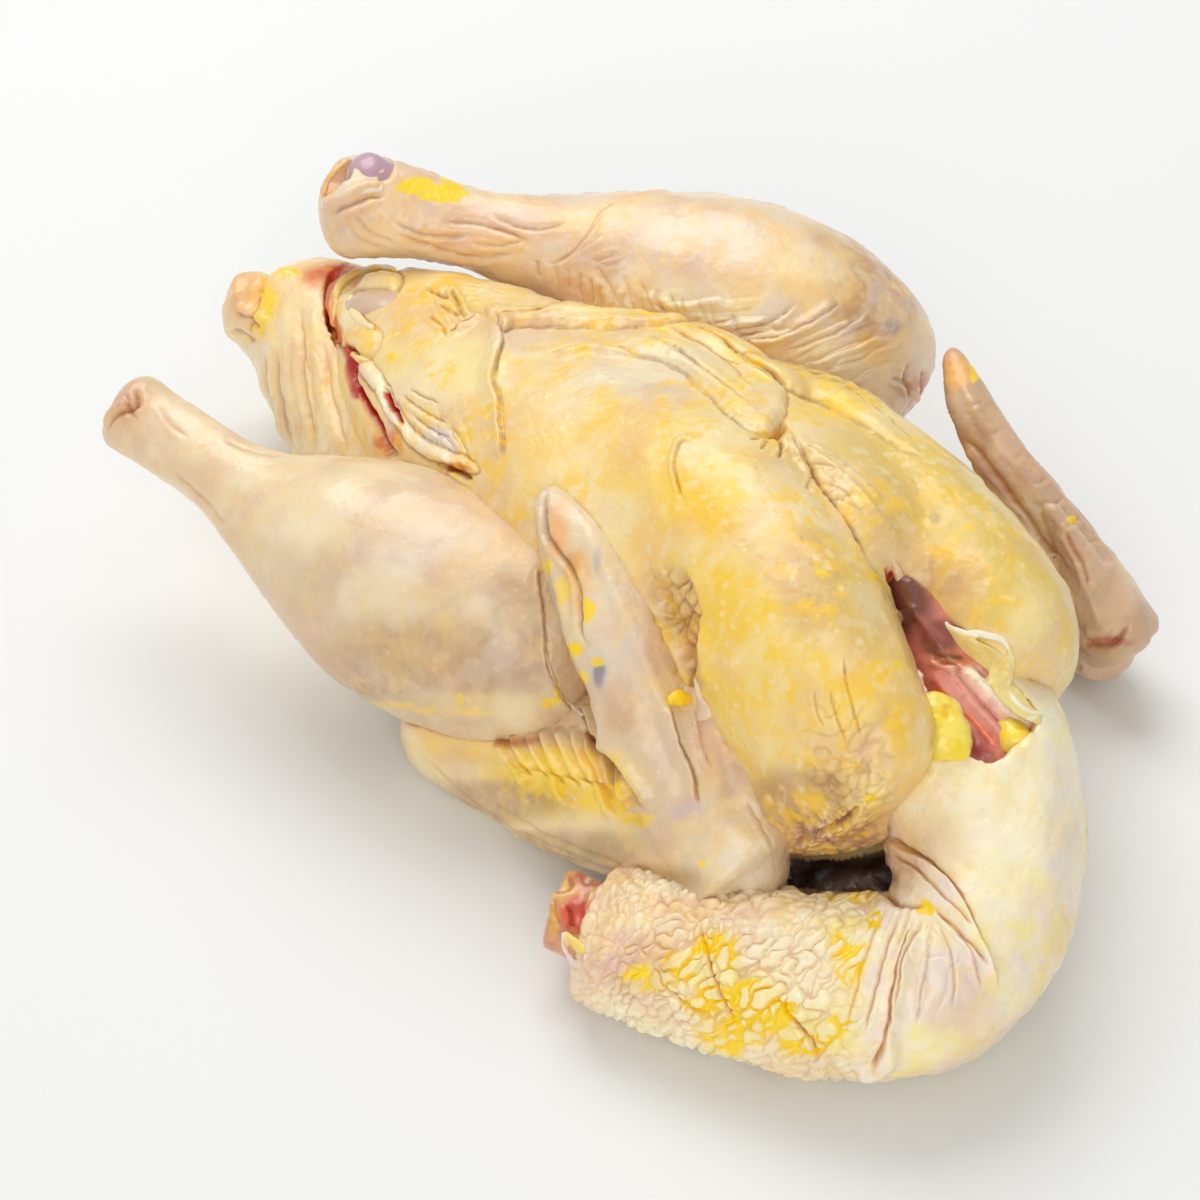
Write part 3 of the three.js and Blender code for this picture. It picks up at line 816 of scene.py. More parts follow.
MEMBRANE = [
    (355, 352), (368, 360), (384, 384), (398, 408), (414, 430), (440, 448), (474, 464), (478, 472),
    (452, 468), (424, 456), (402, 434), (386, 410), (370, 384), (357, 366),
]
BREAST_LEDGES = {
    "throat edge": (1.6, 8, [(864, 806), (845, 822), (822, 832), (794, 846)]),
    "upright edge": (1.2, 8, [(500, 460), (499, 405), (492, 378), (499, 350), (500, 316)]),
}
BREAST_CREASES = {
    "under short fold": (0.8, 2, [(540, 354), (562, 350), (588, 345), (616, 349), (640, 350)]),
    "flap nick a": (2.0, 3, [(424, 284), (440, 293), (450, 300)]),
    "flap nick b": (1.2, 2.2, [(450, 286), (456, 300), (463, 315)]),
    "flap nick c": (1.0, 2, [(448, 332), (478, 315)]),
    "flap nick d": (0.9, 2, [(438, 302), (452, 312), (470, 316)]),
    "flap nick e": (0.8, 2, [(428, 312), (440, 324), (446, 336)]),
    "vent": (3.6, 3.4, [(353, 350), (352, 376), (362, 398), (374, 420), (386, 444), (404, 464)]),
    "vent top": (2.4, 3, [(346, 345), (356, 350), (362, 356)]),
    "tear a": (2.6, 2.6, [(382, 384), (390, 400), (398, 414), (406, 430)]),
    "tear b": (2.2, 2.6, [(428, 463), (450, 467), (474, 480)]),
    "membrane b": (0.7, 2, [(398, 392), (414, 404), (432, 416), (450, 424)]),
    "membrane c": (0.6, 1.8, [(408, 388), (424, 396), (440, 404)]),
    "membrane e": (0.6, 1.8, [(412, 412), (430, 428), (452, 440)]),
    "membrane f": (0.5, 1.8, [(452, 428), (462, 446), (470, 470)]),
    "keel side": (1.4, 2, [(333, 286), (330, 300), (334, 318), (336, 336)]),
    "roll wrinkle": (0.8, 2.2, [(640, 340), (668, 350), (700, 372), (730, 396), (752, 412)]),
    "roll wrinkle b": (0.6, 2, [(664, 330), (700, 350), (732, 374), (758, 400)]),
    "roll upper": (1.2, 2.6, [(690, 319), (728, 346), (758, 366), (790, 390)]),
    "hole": (4.0, 5, [(770, 437), (777, 430), (788, 423)]),
    "hole arm a": (0.8, 2, [(778, 434), (764, 438), (748, 437)]),
    "hole arm b": (1.4, 2.4, [(778, 434), (781, 446), (780, 460)]),
    "hole arm c": (0.6, 2, [(772, 440), (758, 447)]),
    "hole arm d": (0.9, 2.4, [(792, 436), (800, 448), (804, 464)]),
    "valley": (
        1.8, 3,
        [(796, 430), (806, 458), (820, 484), (834, 500), (851, 523), (868, 557), (889, 586)],
    ),
    "valley wrinkle a": (0.5, 2, [(806, 462), (824, 466), (838, 474)]),
    "valley wrinkle b": (0.5, 2, [(818, 482), (838, 488), (856, 500)]),
    "valley wrinkle c": (0.4, 2, [(812, 475), (808, 488), (812, 498)]),
    "valley wrinkle d": (0.4, 2, [(830, 498), (846, 500), (866, 514)]),
    "valley wrinkle e": (0.4, 2, [(800, 446), (818, 448), (836, 458)]),
    "left crack": (0.7, 1.4, [(692, 439), (682, 441), (676, 452), (675, 468), (678, 485), (684, 502)]),
    "front crack a": (0.5, 1.6, [(828, 686), (834, 707), (842, 730), (848, 745)]),
    "front crack b": (0.6, 1.6, [(844, 655), (847, 683), (854, 710), (861, 740)]),
    "front crack c": (0.4, 1.6, [(814, 690), (818, 712), (824, 728)]),
}
breast = Skin(
    "breast_skin",
    LIMBS["breast"],
    cuts=((CROP_CUT, 1.0), (VENT_CUT, 1.0)),
    voxel=1.45,
    colours={
        "torso": (243, 214, 152),
        "left_lobe": (248, 218, 136),
        "right_lobe": (231, 200, 98),
        "flank": (240, 198, 108),
        "skin_roll": (250, 219, 136),
        "cross_fold": (247, 218, 144),
    },
    fine=[
        (
            9,
            [f[-1] for f in (*BREAST_RIDGES.values(), *BREAST_LEDGES.values(), *BREAST_CREASES.values())]
            + [ROLL + ROLL[:1], THIGH_BAND + THIGH_BAND[:1], REAR_FLAP, KEEL_LOBE + KEEL_LOBE[:1]]
            + [[(860, 560), (925, 640), (935, 700), (905, 740)]]
            + [[(352, 346), (366, 390), (392, 440), (440, 474)], [(380, 372), (400, 410), (450, 440)]]
            + [[(800, 720), (880, 790)], [(830, 700), (880, 740)], [(800, 760), (860, 820)]],
        ),
        (4, [f[-1] for f in BREAST_CREASES.values()]),
    ],
)
breast.ridges(BREAST_RIDGES)
breast.flaps(
    {
        "roll": (1.4, 11, ROLL, [(585, 320), (665, 345)]),
        "thigh band": (0.8, 9, THIGH_BAND, [(945, 470), (860, 410)]),
        "rear flap": (0.9, 5, REAR_FLAP, [(480, 318), (500, 318)]),
        "keel lobe": (1.2, 12, KEEL_LOBE, [(300, 320), (330, 320)]),
        "membrane": (0.8, 7, MEMBRANE, [(330, 330), (352, 350)]),
    }
)
breast.ledges(BREAST_LEDGES)
breast.creases(BREAST_CREASES)
breast.rows(
    {
        "flap gathers": (
            6, 0.6, 2.0,
            [(425, 283), (440, 281), (466, 283)],
            [(446, 330), (462, 326), (484, 312)],
        ),
        "knee lines": (
            9, 0.4, 1.8,
            [(790, 372), (815, 384), (840, 396), (868, 412)],
            [(850, 345), (872, 362), (890, 382), (905, 404)],
        ),
        "roll side wrinkles": (
            5, 0.5, 2.0,
            [(742, 432), (760, 440), (780, 450)],
            [(772, 436), (784, 444), (806, 462)],
        ),
    }
)
throat = breast.zone((830, 832), (70, 36))
armpit = breast.zone((674, 630), (30, 68), core=0.6)
front = breast.zone((846, 750), (80, 70))
breast.height -= 3.0 * armpit
breast.wrinkles(front, 3.2, 2.2, run=(1.0, -0.2, 0.2), depth=0.5, seed=31.0)
breast.bumps(breast.zone((852, 784), (56, 40)), size=3.0, height=1.0, seed=15.0)
flap_end = breast.zone((470, 300), (60, 26))
breast.wrinkles(flap_end, 2.6, 2.5, run=(0.3, -1.0, 0.2), depth=0.6, seed=51.0)
beside_vent = breast.zone((440, 430), (44, 30))
breast.wrinkles(beside_vent, 2.2, 2.0, run=(-0.6, -0.8, 0.0), depth=0.5, seed=57.0)
valley = breast.zone((840, 480), (60, 34))
breast.wrinkles(valley, 2.4, 2.4, run=(0.8, 0.1, 0.0), depth=0.3, seed=61.0, dark=0.3)
breast.bumps(throat, size=2.6, height=0.9, seed=5.0)
breast.bumps(armpit, size=3.0, height=2.0, seed=11.0, stretch=(1.0, 1.0, 1.8))
breast.stains(
    [
        ((251, 210, 110), (600, 450), (120, 70), 0.75),
        ((251, 202, 48), (716, 496), (84, 60), 0.9),
        ((234, 220, 190), (640, 376), (100, 34), 0.8),
        ((232, 198, 124), (780, 505), (64, 90), 0.8),
        ((216, 178, 100), (815, 585), (50, 80), 0.85),
        ((218, 182, 94), (862, 620), (36, 80), 0.75),
        ((248, 204, 64), (720, 640), (60, 100), 0.85),
        ((246, 208, 104), (800, 680), (110, 70), 0.5),
        ((236, 188, 84), (900, 690), (40, 60), 0.6),
        ((240, 206, 136), (860, 752), (60, 40), 0.6),
        ((184, 142, 92), (800, 796), (76, 44), 0.8),
        ((252, 216, 124), (440, 300), (80, 34), 0.8),
        ((250, 226, 160), (460, 370), (60, 60), 0.6),
        ((240, 216, 180), (420, 410), (60, 40), 0.6),
        ((247, 216, 88), (840, 404), (90, 28), 0.8),
        ((226, 196, 100), (970, 530), (90, 90), 0.5),
        ((222, 186, 84), (905, 500), (70, 50), 0.75),
        ((230, 196, 88), (890, 444), (90, 36), 0.7),
        ((196, 158, 84), (940, 582), (36, 30), 0.75),
        ((250, 226, 158), (1036, 644), (50, 70), 0.9),
        ((242, 194, 84), (705, 334), (60, 18), 0.9),
        ((250, 234, 196), (520, 342), (50, 24), 0.7),
        ((248, 200, 110), (650, 540), (26, 60), 0.6),
        ((222, 184, 112), (668, 600), (34, 60), 0.9),
        ((214, 160, 44), (682, 648), (24, 46), 0.95),
        ((140, 84, 30), (690, 684), (18, 14), 0.8),
        ((206, 156, 128), (832, 836), (66, 24), 0.95),
        ((222, 104, 56), (340, 274), (30, 14), 0.9),
        ((246, 216, 128), (370, 275), (34, 10), 0.8),
        ((250, 232, 190), (346, 326), (12, 34), 0.7),
        ((234, 222, 212), (440, 444), (30, 18), 0.8),
        ((226, 216, 208), (436, 436), (24, 12), 0.6),
        ((150, 130, 90), (935, 517), (9, 9), 0.5),
    ]
)
breast.spots(
    "yellow",
    [
        ((821, 574), (5, 4), 1), ((874, 577), (6, 5), 1), ((897, 666), (6, 6), 1), ((390, 357), (4, 4), 1),
        ((765, 384), (14, 6), 0.4), ((740, 395), (5, 5), 0.8), ((756, 366), (10, 6), 0.7),
        ((640, 276), (8, 4), 0.6), ((652, 315), (8, 4), 0.9), ((930, 695), (4, 24), 0.8),
        ((932, 672), (5, 10), 0.7), ((942, 435), (6, 7), 0.9), ((870, 800), (6, 4), 1),
    ],
)
# Painted shade: the creases of the armpit and the throat are darkened further in brown.
breast.stain((160, 100, 36), armpit * breast.crease)
breast.stain((146, 84, 60), throat * breast.crease * 0.8)
breast.streaks(
    [
        (
            (253, 240, 210), 7, 0.85,
            [(360, 360), (378, 384), (394, 412), (414, 438), (444, 456), (474, 468)],
        ),
        ((212, 146, 56), 3.5, 0.8, [(899, 600), (912, 640), (924, 680), (934, 722), (930, 755)]),
        ((251, 208, 84), 5, 0.6, [(668, 440), (666, 466), (674, 496), (688, 522)]),
    ]
)
breast.gashes(
    [
        (5.5, [(351, 344), (351, 364), (354, 384), (362, 402)]),
        (3.6, [(354, 384), (362, 400), (374, 420), (386, 442)]),
        (2.0, [(384, 390), (392, 404), (404, 424)]),
    ]
)
breast.stain((224, 120, 0), breast.zone((388, 446), (20, 26)))
breast.stain((196, 96, 8), breast.zone((455, 468), (26, 7)))
keel_wall = breast.inside * breast.zone((328, 300), (34, 60), core=0.8)
breast.stain((212, 84, 26), keel_wall)
breast.inside = breast.inside - 0.9 * keel_wall
around_lobe = breast.zone((382, 340), (44, 40), core=0.6)
breast.crease *= 1 - 0.6 * around_lobe
slit_wall = breast.inside * breast.zone((980, 660), (130, 120), core=0.9)
breast.stain((240, 214, 132), slit_wall)
breast.inside = breast.inside - slit_wall
cloudy = noise_at(breast.place, 14.0, 41.0, 2)
breast.marks["mottled"] = np.clip(0.85 + 0.4 * cloudy, 0, 1)
breast_material = wet_skin("wet_breast_skin", fat=(252, 204, 48), pale=(248, 229, 182))
breast.finish(breast_material, crumple=0.7, crease_tint_and_shade=(160, 98, 44), reach=0.8)
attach(breast.piece, "root")
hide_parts("chicken")

# ------------------------------------------------------------------ rump
# The rump below the vent: paler skin in lengthwise wrinkles, with the tail cut to a stub at its end and
# a ridge of fat up its left edge.
rump = Skin(
    "rump_skin",
    LIMBS["rump"],
    cuts=((VENT_CUT, 1.0),),
    voxel=0.9,
    colours={"rump": (250, 222, 168), "tail_stub": (246, 206, 150)},
)
rump.ridges(
    {
        "left edge": (1.5, 6, [(296, 266), (277, 281), (266, 305), (261, 342)]),
        "fold a": (0.7, 5, [(285, 300), (288, 350), (292, 400), (300, 455)]),
        "fold b": (0.7, 5, [(312, 300), (316, 350), (324, 405), (338, 458)]),
        "fold c": (0.6, 5, [(272, 330), (276, 380), (288, 440)]),
        "stub fold": (1.0, 5, [(236, 290), (246, 312), (262, 322)]),
        "stub lobe": (1.0, 6, [(248, 262), (238, 282), (240, 300)]),
    }
)
rump.creases(
    {
        "a": (0.8, 3, [(276, 345), (281, 390), (294, 452)]),
        "b": (0.7, 3, [(300, 300), (302, 350), (308, 400), (318, 458)]),
        "c": (0.6, 3, [(324, 340), (334, 400), (350, 458)]),
        "d": (0.6, 3, [(262, 345), (268, 390), (282, 440)]),
        "stub a": (1.2, 3, [(266, 330), (252, 318), (234, 312)]),
        "stub b": (0.9, 3, [(255, 345), (244, 332), (230, 330)]),
        "stub c": (1.5, 3.5, [(272, 270), (262, 292), (256, 320), (254, 345)]),
        "vent rim": (1.2, 2.4, [(334, 288), (331, 304), (334, 322), (342, 346)]),
    }
)
rump.rows(
    {
        "fine lines": (
            11, 0.35, 2,
            [(268, 340), (290, 330), (315, 325), (340, 345)],
            [(284, 440), (310, 452), (340, 458), (365, 455)],
        ),
    }
)
rump.stains(
    [
        ((252, 204, 110), (266, 300), (24, 54), 0.8),
        ((228, 102, 40), (328, 276), (38, 18), 0.95),
        ((220, 60, 34), (346, 270), (16, 8), 0.9),
        ((206, 60, 30), (336, 300), (8, 20), 0.8),
        ((240, 182, 116), (240, 296), (26, 44), 0.7),
        ((253, 228, 176), (310, 390), (50, 70), 0.6),
        ((222, 184, 124), (284, 430), (24, 40), 0.5),
    ]
)
rump.spots(
    "yellow",
    [((285, 272), (16, 8), 0.8), ((268, 296), (7, 20), 0.8), ((262, 325), (6, 18), 0.7)],
)
rump.stain((206, 70, 22), rump.inside)
rump.inside *= 0.3
rump.gashes([(4.5, [(349, 342), (350, 366), (354, 388), (362, 406)])])
rump.streaks([((224, 116, 0), 7, 0.95, [(360, 408), (370, 426), (382, 444), (394, 462)])])
rump.marks["mottled"] += 0.35
rump.finish(breast_material, crumple=1.2)
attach(rump.piece, "root")
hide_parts("chicken")

# ------------------------------------------------------------------ left leg
# The left thigh and drumstick, pressed down beside the breast: tight skin, greyish pink over the dark
# meat, cut off at the hock. It is painted paler on top, with a painted highlight, and darker along its
# lower side, partly painted shade.
LEFT_HOCK_CUT = [[-60, 89, 53, 3, 3], [-70, 97, 57, 8, 8]]
left_leg = Skin(
    "left_leg_skin",
    LIMBS["left_leg"],
    cuts=((LEFT_HOCK_CUT, 0.3),),
    voxel=1.0,
    colours={"thigh": (228, 200, 160), "drumstick": (230, 204, 162)},
)
left_leg.ledges(
    {
        "flap": (1.2, 8, [(579, 714), (558, 695), (545, 652), (541, 610), (536, 560)]),
    }
)
left_leg.creases(
    {
        "hock a": (2.4, 3, [(134, 384), (139, 404), (115, 415), (106, 432)]),
        "hock b": (1.2, 2.5, [(124, 394), (130, 408), (138, 420)]),
        "shank a": (0.6, 2.5, [(158, 400), (172, 424), (190, 440)]),
        "shank b": (0.5, 2.5, [(222, 440), (252, 452), (282, 456)]),
        "shank c": (0.5, 2.5, [(170, 470), (205, 500), (228, 530)]),
        "nick a": (0.9, 1.8, [(358, 684), (366, 687)]),
        "nick b": (0.6, 1.8, [(382, 692), (388, 693)]),
        "nick c": (0.6, 1.8, [(398, 692), (406, 693)]),
    }
)
# The pale tone at (300, 490) on top of the drumstick is painted light and the whiter patch at (410, 552) a
# painted highlight; the grey browns at (436, 670) and (320, 600) along its lower side are partly the skin's
# tone, partly painted shade.
left_leg.stains(
    [
        ((192, 156, 114), (436, 670), (190, 68), 0.85),
        ((214, 190, 160), (320, 600), (70, 60), 0.5),
        ((244, 222, 178), (300, 490), (170, 70), 0.7),
        ((238, 222, 200), (410, 552), (80, 40), 0.7),
        ((186, 148, 114), (518, 620), (46, 80), 0.9),
        ((252, 228, 190), (180, 430), (70, 50), 0.6),
        ((218, 168, 138), (125, 400), (26, 36), 0.7),
        ((236, 214, 150), (470, 705), (120, 18), 0.5),
    ]
)
left_leg.spots(
    "yellow",
    [
        ((556, 690), (4, 10), 0.8), ((470, 712), (16, 4), 0.4), ((548, 702), (5, 6), 0.8),
        ((392, 704), (24, 4), 0.4), ((428, 709), (10, 4), 0.4), ((460, 700), (5, 6), 0.5),
    ],
)
left_leg.stain((226, 150, 110), 3 * left_leg.inside)
left_leg.inside *= 0.3
veiled = noise_at(left_leg.place, 8.0, 83.0, 3)
left_leg.stain((240, 226, 210), 0.22 * ramp(veiled, 0.0, 0.5))
left_leg.stain((236, 200, 140), 0.25 * ramp(veiled, -0.05, -0.5))
left_leg.marks["mottled"] += 0.3
leg_material = wet_skin("wet_leg_skin", fat=(246, 206, 124), flush=(204, 160, 146), flushed=0.45, pores=0.2)
left_leg.finish(leg_material, crumple=0.25)
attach(left_leg.piece, "root")
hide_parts("chicken")

# ------------------------------------------------------------------ right leg
# The right thigh and drumstick behind the breast. Its skin is slack: it gathers into a row of wrinkles
# where the leg was pressed down against the breast, and folds round the calf.
RIGHT_HOCK_CUT = [[14, 96, 71, 3.5, 3.5], [7, 103, 75, 7, 7]]
right_leg = Skin(
    "right_leg_skin",
    LIMBS["right_leg"],
    cuts=((RIGHT_HOCK_CUT, 0.3),),
    voxel=1.0,
    colours={"thigh": (226, 196, 156), "drumstick": (238, 212, 176)},
    fine=[
        (24, [[(528, 262), (570, 272), (610, 290), (650, 305), (700, 318), (745, 332)]]),
        (26, [[(770, 350), (820, 345), (870, 350), (905, 380), (918, 410)]]),
        (16, [[(320, 200), (350, 180), (384, 176)], [(548, 268), (580, 240), (612, 204)]]),
        (10, [[(396, 232), (440, 240), (500, 235), (566, 222)]]),
    ],
)
right_leg.ridges(
    {
        "hock flap": (1.2, 5, [(322, 206), (340, 198), (358, 187), (384, 186)]),
        "hock rim": (0.8, 4, [(322, 196), (332, 178), (348, 164)]),
        "thigh fold": (0.9, 5, [(650, 318), (700, 328), (735, 327), (772, 320)]),
        "thigh fold b": (0.8, 6, [(738, 345), (775, 340), (810, 322), (838, 300)]),
        "thigh fold c": (0.8, 5, [(640, 296), (680, 305), (730, 300)]),
    }
)
right_leg.ledges(
    {
        "calf fold": (0.8, 16, [(674, 188), (628, 200), (604, 214), (588, 236), (572, 254), (548, 268)]),
    }
)
right_leg.creases(
    {
        "shank a": (0.9, 3, [(440, 221), (470, 223), (497, 228), (530, 242)]),
        "shank b": (0.8, 3, [(396, 232), (440, 250), (480, 257), (520, 254)]),
        "shank c": (0.8, 3, [(490, 212), (512, 224), (540, 228), (566, 222)]),
        "shank d": (0.6, 2.5, [(352, 214), (372, 232), (400, 245)]),
        "hock a": (1.5, 3, [(330, 214), (350, 204), (372, 196), (388, 198)]),
        "hock b": (1.6, 3, [(392, 156), (388, 172), (376, 182)]),
        "under fold": (1.1, 3, [(655, 326), (700, 338), (738, 336), (775, 330)]),
        "knee a": (1.4, 2.5, [(908, 362), (905, 380), (912, 398)]),
        "knee b": (1.2, 2.5, [(922, 368), (921, 392), (926, 410)]),
        "knee c": (0.7, 2.5, [(890, 378), (902, 384), (908, 396)]),
        "bruise": (0.6, 3, [(886, 322), (892, 328)]),
        "thigh crease a": (0.9, 2.2, [(650, 300), (684, 318), (712, 322), (742, 316)]),
        "thigh crease b": (0.8, 2.2, [(700, 338), (736, 330), (770, 322), (800, 300)]),
        "thigh crease c": (0.7, 2.0, [(742, 340), (776, 336), (812, 322), (846, 300)]),
        "thigh crease d": (0.6, 2.0, [(780, 352), (812, 342), (846, 326), (872, 306)]),
        "shank e": (0.7, 2.2, [(392, 218), (416, 232), (444, 236), (470, 234)]),
        "shank f": (0.6, 2.2, [(470, 242), (500, 246), (528, 240)]),
        "shank g": (0.5, 2.0, [(344, 224), (360, 240), (384, 252)]),
        "calf line": (0.5, 1.6, [(553, 267), (575, 251), (590, 234), (607, 214)]),
    }
)
right_leg.rows(
    {
        "inner shank": (
            9, 0.8, 3.0,
            [(528, 258), (560, 262), (590, 276), (622, 290), (650, 300)],
            [(534, 276), (562, 286), (590, 304), (618, 316), (648, 322)],
        ),
        "inner thigh": (
            9, 0.9, 3.2,
            [(590, 262), (630, 278), (668, 292), (704, 302), (742, 314)],
            [(612, 304), (646, 316), (682, 330), (716, 342), (748, 350)],
        ),
        "calf": (
            6, 0.5, 2.4,
            [(560, 262), (582, 262), (604, 266)],
            [(604, 232), (618, 244), (628, 262)],
        ),
        "knee lines": (
            9, 0.4, 2,
            [(765, 350), (790, 362), (815, 376), (845, 392)],
            [(868, 305), (884, 322), (900, 342), (908, 366)],
        ),
        "thigh lines": (
            5, 0.5, 3.5,
            [(640, 300), (668, 320), (690, 335)],
            [(760, 290), (790, 312), (815, 335)],
        ),
    }
)
right_leg.stains(
    [
        ((236, 190, 156), (490, 228), (110, 34), 0.6),
        ((248, 214, 172), (400, 215), (70, 50), 0.6),
        ((250, 222, 176), (640, 212), (110, 34), 0.5),
        ((232, 214, 190), (690, 240), (90, 30), 0.5),
        ((190, 144, 86), (872, 292), (70, 70), 0.9),
        ((206, 162, 112), (850, 248), (60, 50), 0.75),
        ((250, 208, 118), (800, 270), (50, 40), 0.5),
        ((255, 240, 196), (700, 302), (100, 30), 0.9),
        ((255, 234, 192), (630, 284), (60, 26), 0.9),
        ((255, 228, 172), (800, 344), (64, 24), 0.9),
        ((150, 124, 128), (889, 326), (13, 13), 0.8),
        ((214, 104, 56), (920, 398), (18, 36), 0.85),
        ((250, 200, 96), (872, 350), (36, 22), 0.7),
        ((236, 156, 84), (575, 288), (40, 18), 0.4),
    ]
)
right_leg.streaks([((250, 240, 228), 2.2, 0.9, [(911, 386), (914, 400), (915, 418)])])
right_leg.spots(
    "yellow",
    [((418, 186), (24, 9), 1.0), ((440, 192), (26, 10), 1.0), ((452, 184), (14, 7), 0.9)],
)
right_leg.stain((238, 178, 96), 3 * right_leg.inside)
right_leg.inside *= 0.2
veiled = noise_at(right_leg.place, 8.0, 81.0, 3)
right_leg.stain((232, 216, 202), 0.45 * ramp(veiled, 0.0, 0.4))
right_leg.stain((246, 200, 122), 0.45 * ramp(veiled, -0.12, -0.45))
right_leg.marks["mottled"] += 0.4
right_leg.finish(leg_material, crumple=0.6, crease_tint_and_shade=(184, 122, 80), reach=0.55)
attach(right_leg.piece, "root")
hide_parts("chicken")

# ------------------------------------------------------------------ left wing
# The left wing is folded flat: the forearm lies on the board, the hand is turned back over it towards the
# tail, and the thumb stands off at the wrist. Along the forearm the quills' roots show as fat ridges.
left_wing = Skin(
    "left_wing_skin",
    LIMBS["left_wing"],
    voxel=0.75,
    rounds=9,
    colours={
        "upper_arm": (226, 200, 158),
        "forearm": (242, 216, 164),
        "hand": (224, 200, 164),
        "thumb": (228, 196, 156),
        "wrist": (224, 202, 172),
    },
)
left_wing.ridges(
    {
        "hand rim": (0.9, 5, [(540, 500), (552, 560), (572, 640), (590, 690)]),
        "hand bone": (0.9, 8, [(575, 500), (605, 570), (640, 650), (668, 720), (685, 780)]),
        "forearm rim": (1.2, 5, [(395, 716), (430, 726), (470, 732), (510, 734)]),
    }
)
left_wing.ledges(
    {
        "hand over forearm": (1.6, 9, [(580, 700), (594, 735), (616, 758), (634, 784), (648, 812)]),
        "thumb over hand": (1.4, 7, [(697, 806), (692, 774), (677, 742), (668, 706)]),
    }
)
left_wing.creases(
    {
        "hand groove": (1.2, 2.6, [(545, 482), (549, 533), (570, 565), (582, 595), (583, 633), (597, 652)]),
        "forearm edge a": (0.4, 2, [(412, 748), (470, 800), (540, 845), (610, 873)]),
        "forearm edge b": (0.4, 2, [(432, 782), (500, 822), (575, 856), (650, 888)]),
        "forearm edge c": (0.4, 2, [(470, 790), (540, 830), (600, 856), (680, 890)]),
        "under leg": (1.2, 3, [(400, 718), (440, 729), (490, 737), (530, 741)]),
        "crevice": (1.8, 3.5, [(583, 728), (606, 752), (627, 779), (645, 806)]),
        "wrist a": (0.4, 2.5, [(745, 800), (762, 825), (772, 850)]),
        "thumb a": (0.4, 2.5, [(690, 700), (700, 740), (712, 775)]),
    }
)
QUILL_TOPS = [(492, 738), (520, 728), (548, 727), (574, 724), (600, 738), (622, 762)]
QUILL_FEET = [(536, 800), (566, 812), (596, 820), (622, 828), (648, 832), (664, 830)]
QUILLS = 8
QUILLS_END = 0.84
for k in range(QUILLS):
    share = QUILLS_END * (k + 0.5) / QUILLS
    head, foot = point_on(QUILL_TOPS, share), point_on(QUILL_FEET, share)
    long = 0.8 + 0.2 * math.sin(4.0 * k)
    tall = 3.0 - 1.6 * share
    left_wing.ridges({k: (tall, 6, [head, head * 0.5 + foot * 0.5 + (-3, 3), head + (foot - head) * long])})
    gap = point_on(QUILL_TOPS, share + 0.42 / QUILLS)
    left_wing.creases({k: (1.5, 2.4, [gap, gap + (foot - head) * 0.75])}, dark=0.5)
# The orange line at (470, 722) under the leg and the brown at (730, 770) beside the thumb are painted
# shadow; the dark olive along the forearm's lower side, at (484, 802), (562, 848) and (646, 880), is partly
# its own tone, partly painted shade.
left_wing.stains(
    [
        ((253, 214, 84), (560, 780), (106, 48), 0.95),
        ((250, 208, 104), (470, 742), (84, 28), 0.8),
        ((214, 130, 50), (470, 722), (90, 10), 0.8),
        ((252, 206, 74), (614, 782), (20, 40), 0.85),
        ((156, 122, 70), (484, 802), (120, 30), 0.7),
        ((164, 130, 78), (562, 848), (120, 26), 0.6),
        ((172, 136, 88), (646, 880), (80, 22), 0.8),
        ((190, 150, 116), (730, 770), (20, 60), 0.5),
        ((204, 164, 112), (620, 704), (26, 40), 0.7),
        ((226, 160, 64), (578, 580), (18, 50), 0.8),
        ((226, 206, 186), (620, 640), (40, 100), 0.6),
        ((232, 186, 148), (706, 745), (22, 50), 0.5),
        ((206, 196, 190), (600, 672), (14, 30), 0.7),
        ((170, 160, 160), (597, 560), (6, 18), 0.7),
        ((112, 106, 120), (600, 674), (8, 20), 0.7),
        ((244, 176, 104), (560, 526), (14, 46), 0.7),
        ((206, 180, 182), (686, 808), (26, 20), 0.6),
        ((222, 208, 190), (740, 870), (50, 30), 0.7),
        ((226, 190, 160), (480, 800), (90, 24), 0.3),
    ]
)
left_wing.spots(
    "yellow",
    [
        ((526, 500), (6, 20), 1), ((530, 536), (5, 9), 1), ((548, 566), (7, 10), 0.8),
        ((590, 612), (6, 14), 0.9), ((577, 648), (7, 8), 1), ((580, 678), (10, 7), 0.9),
        ((598, 664), (6, 6), 0.8), ((564, 590), (6, 16), 0.6), ((702, 864), (4, 4), 0.8),
        ((640, 820), (16, 9), 0.8), ((622, 800), (6, 18), 0.7), ((560, 790), (10, 12), 0.6),
        ((590, 800), (10, 9), 0.6), ((530, 755), (12, 8), 0.6), ((556, 774), (46, 26), 0.45),
        ((612, 800), (26, 20), 0.5),
    ],
)
# The two dark brown streaks are painted shadow: in the crevice under the hand's edge, and under the leg
# along the forearm.
left_wing.streaks(
    [
        ((158, 88, 30), 4.0, 0.95, [(583, 728), (605, 752), (626, 779), (645, 808)]),
        ((190, 96, 34), 4.0, 0.95, [(396, 717), (440, 729), (480, 736), (520, 741), (552, 738)]),
        ((244, 180, 52), 5.0, 0.8, [(584, 744), (606, 772), (630, 808)]),
    ]
)
left_wing.marks["mottled"] += 0.35
wing_material = wet_skin("wet_wing_skin", fat=(250, 210, 110), flush=(216, 170, 150), flushed=0.35)
left_wing.finish(wing_material, crumple=0.8, crease_tint_and_shade=(158, 96, 56), reach=0.75)
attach(left_wing.piece, "root")
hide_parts("chicken")

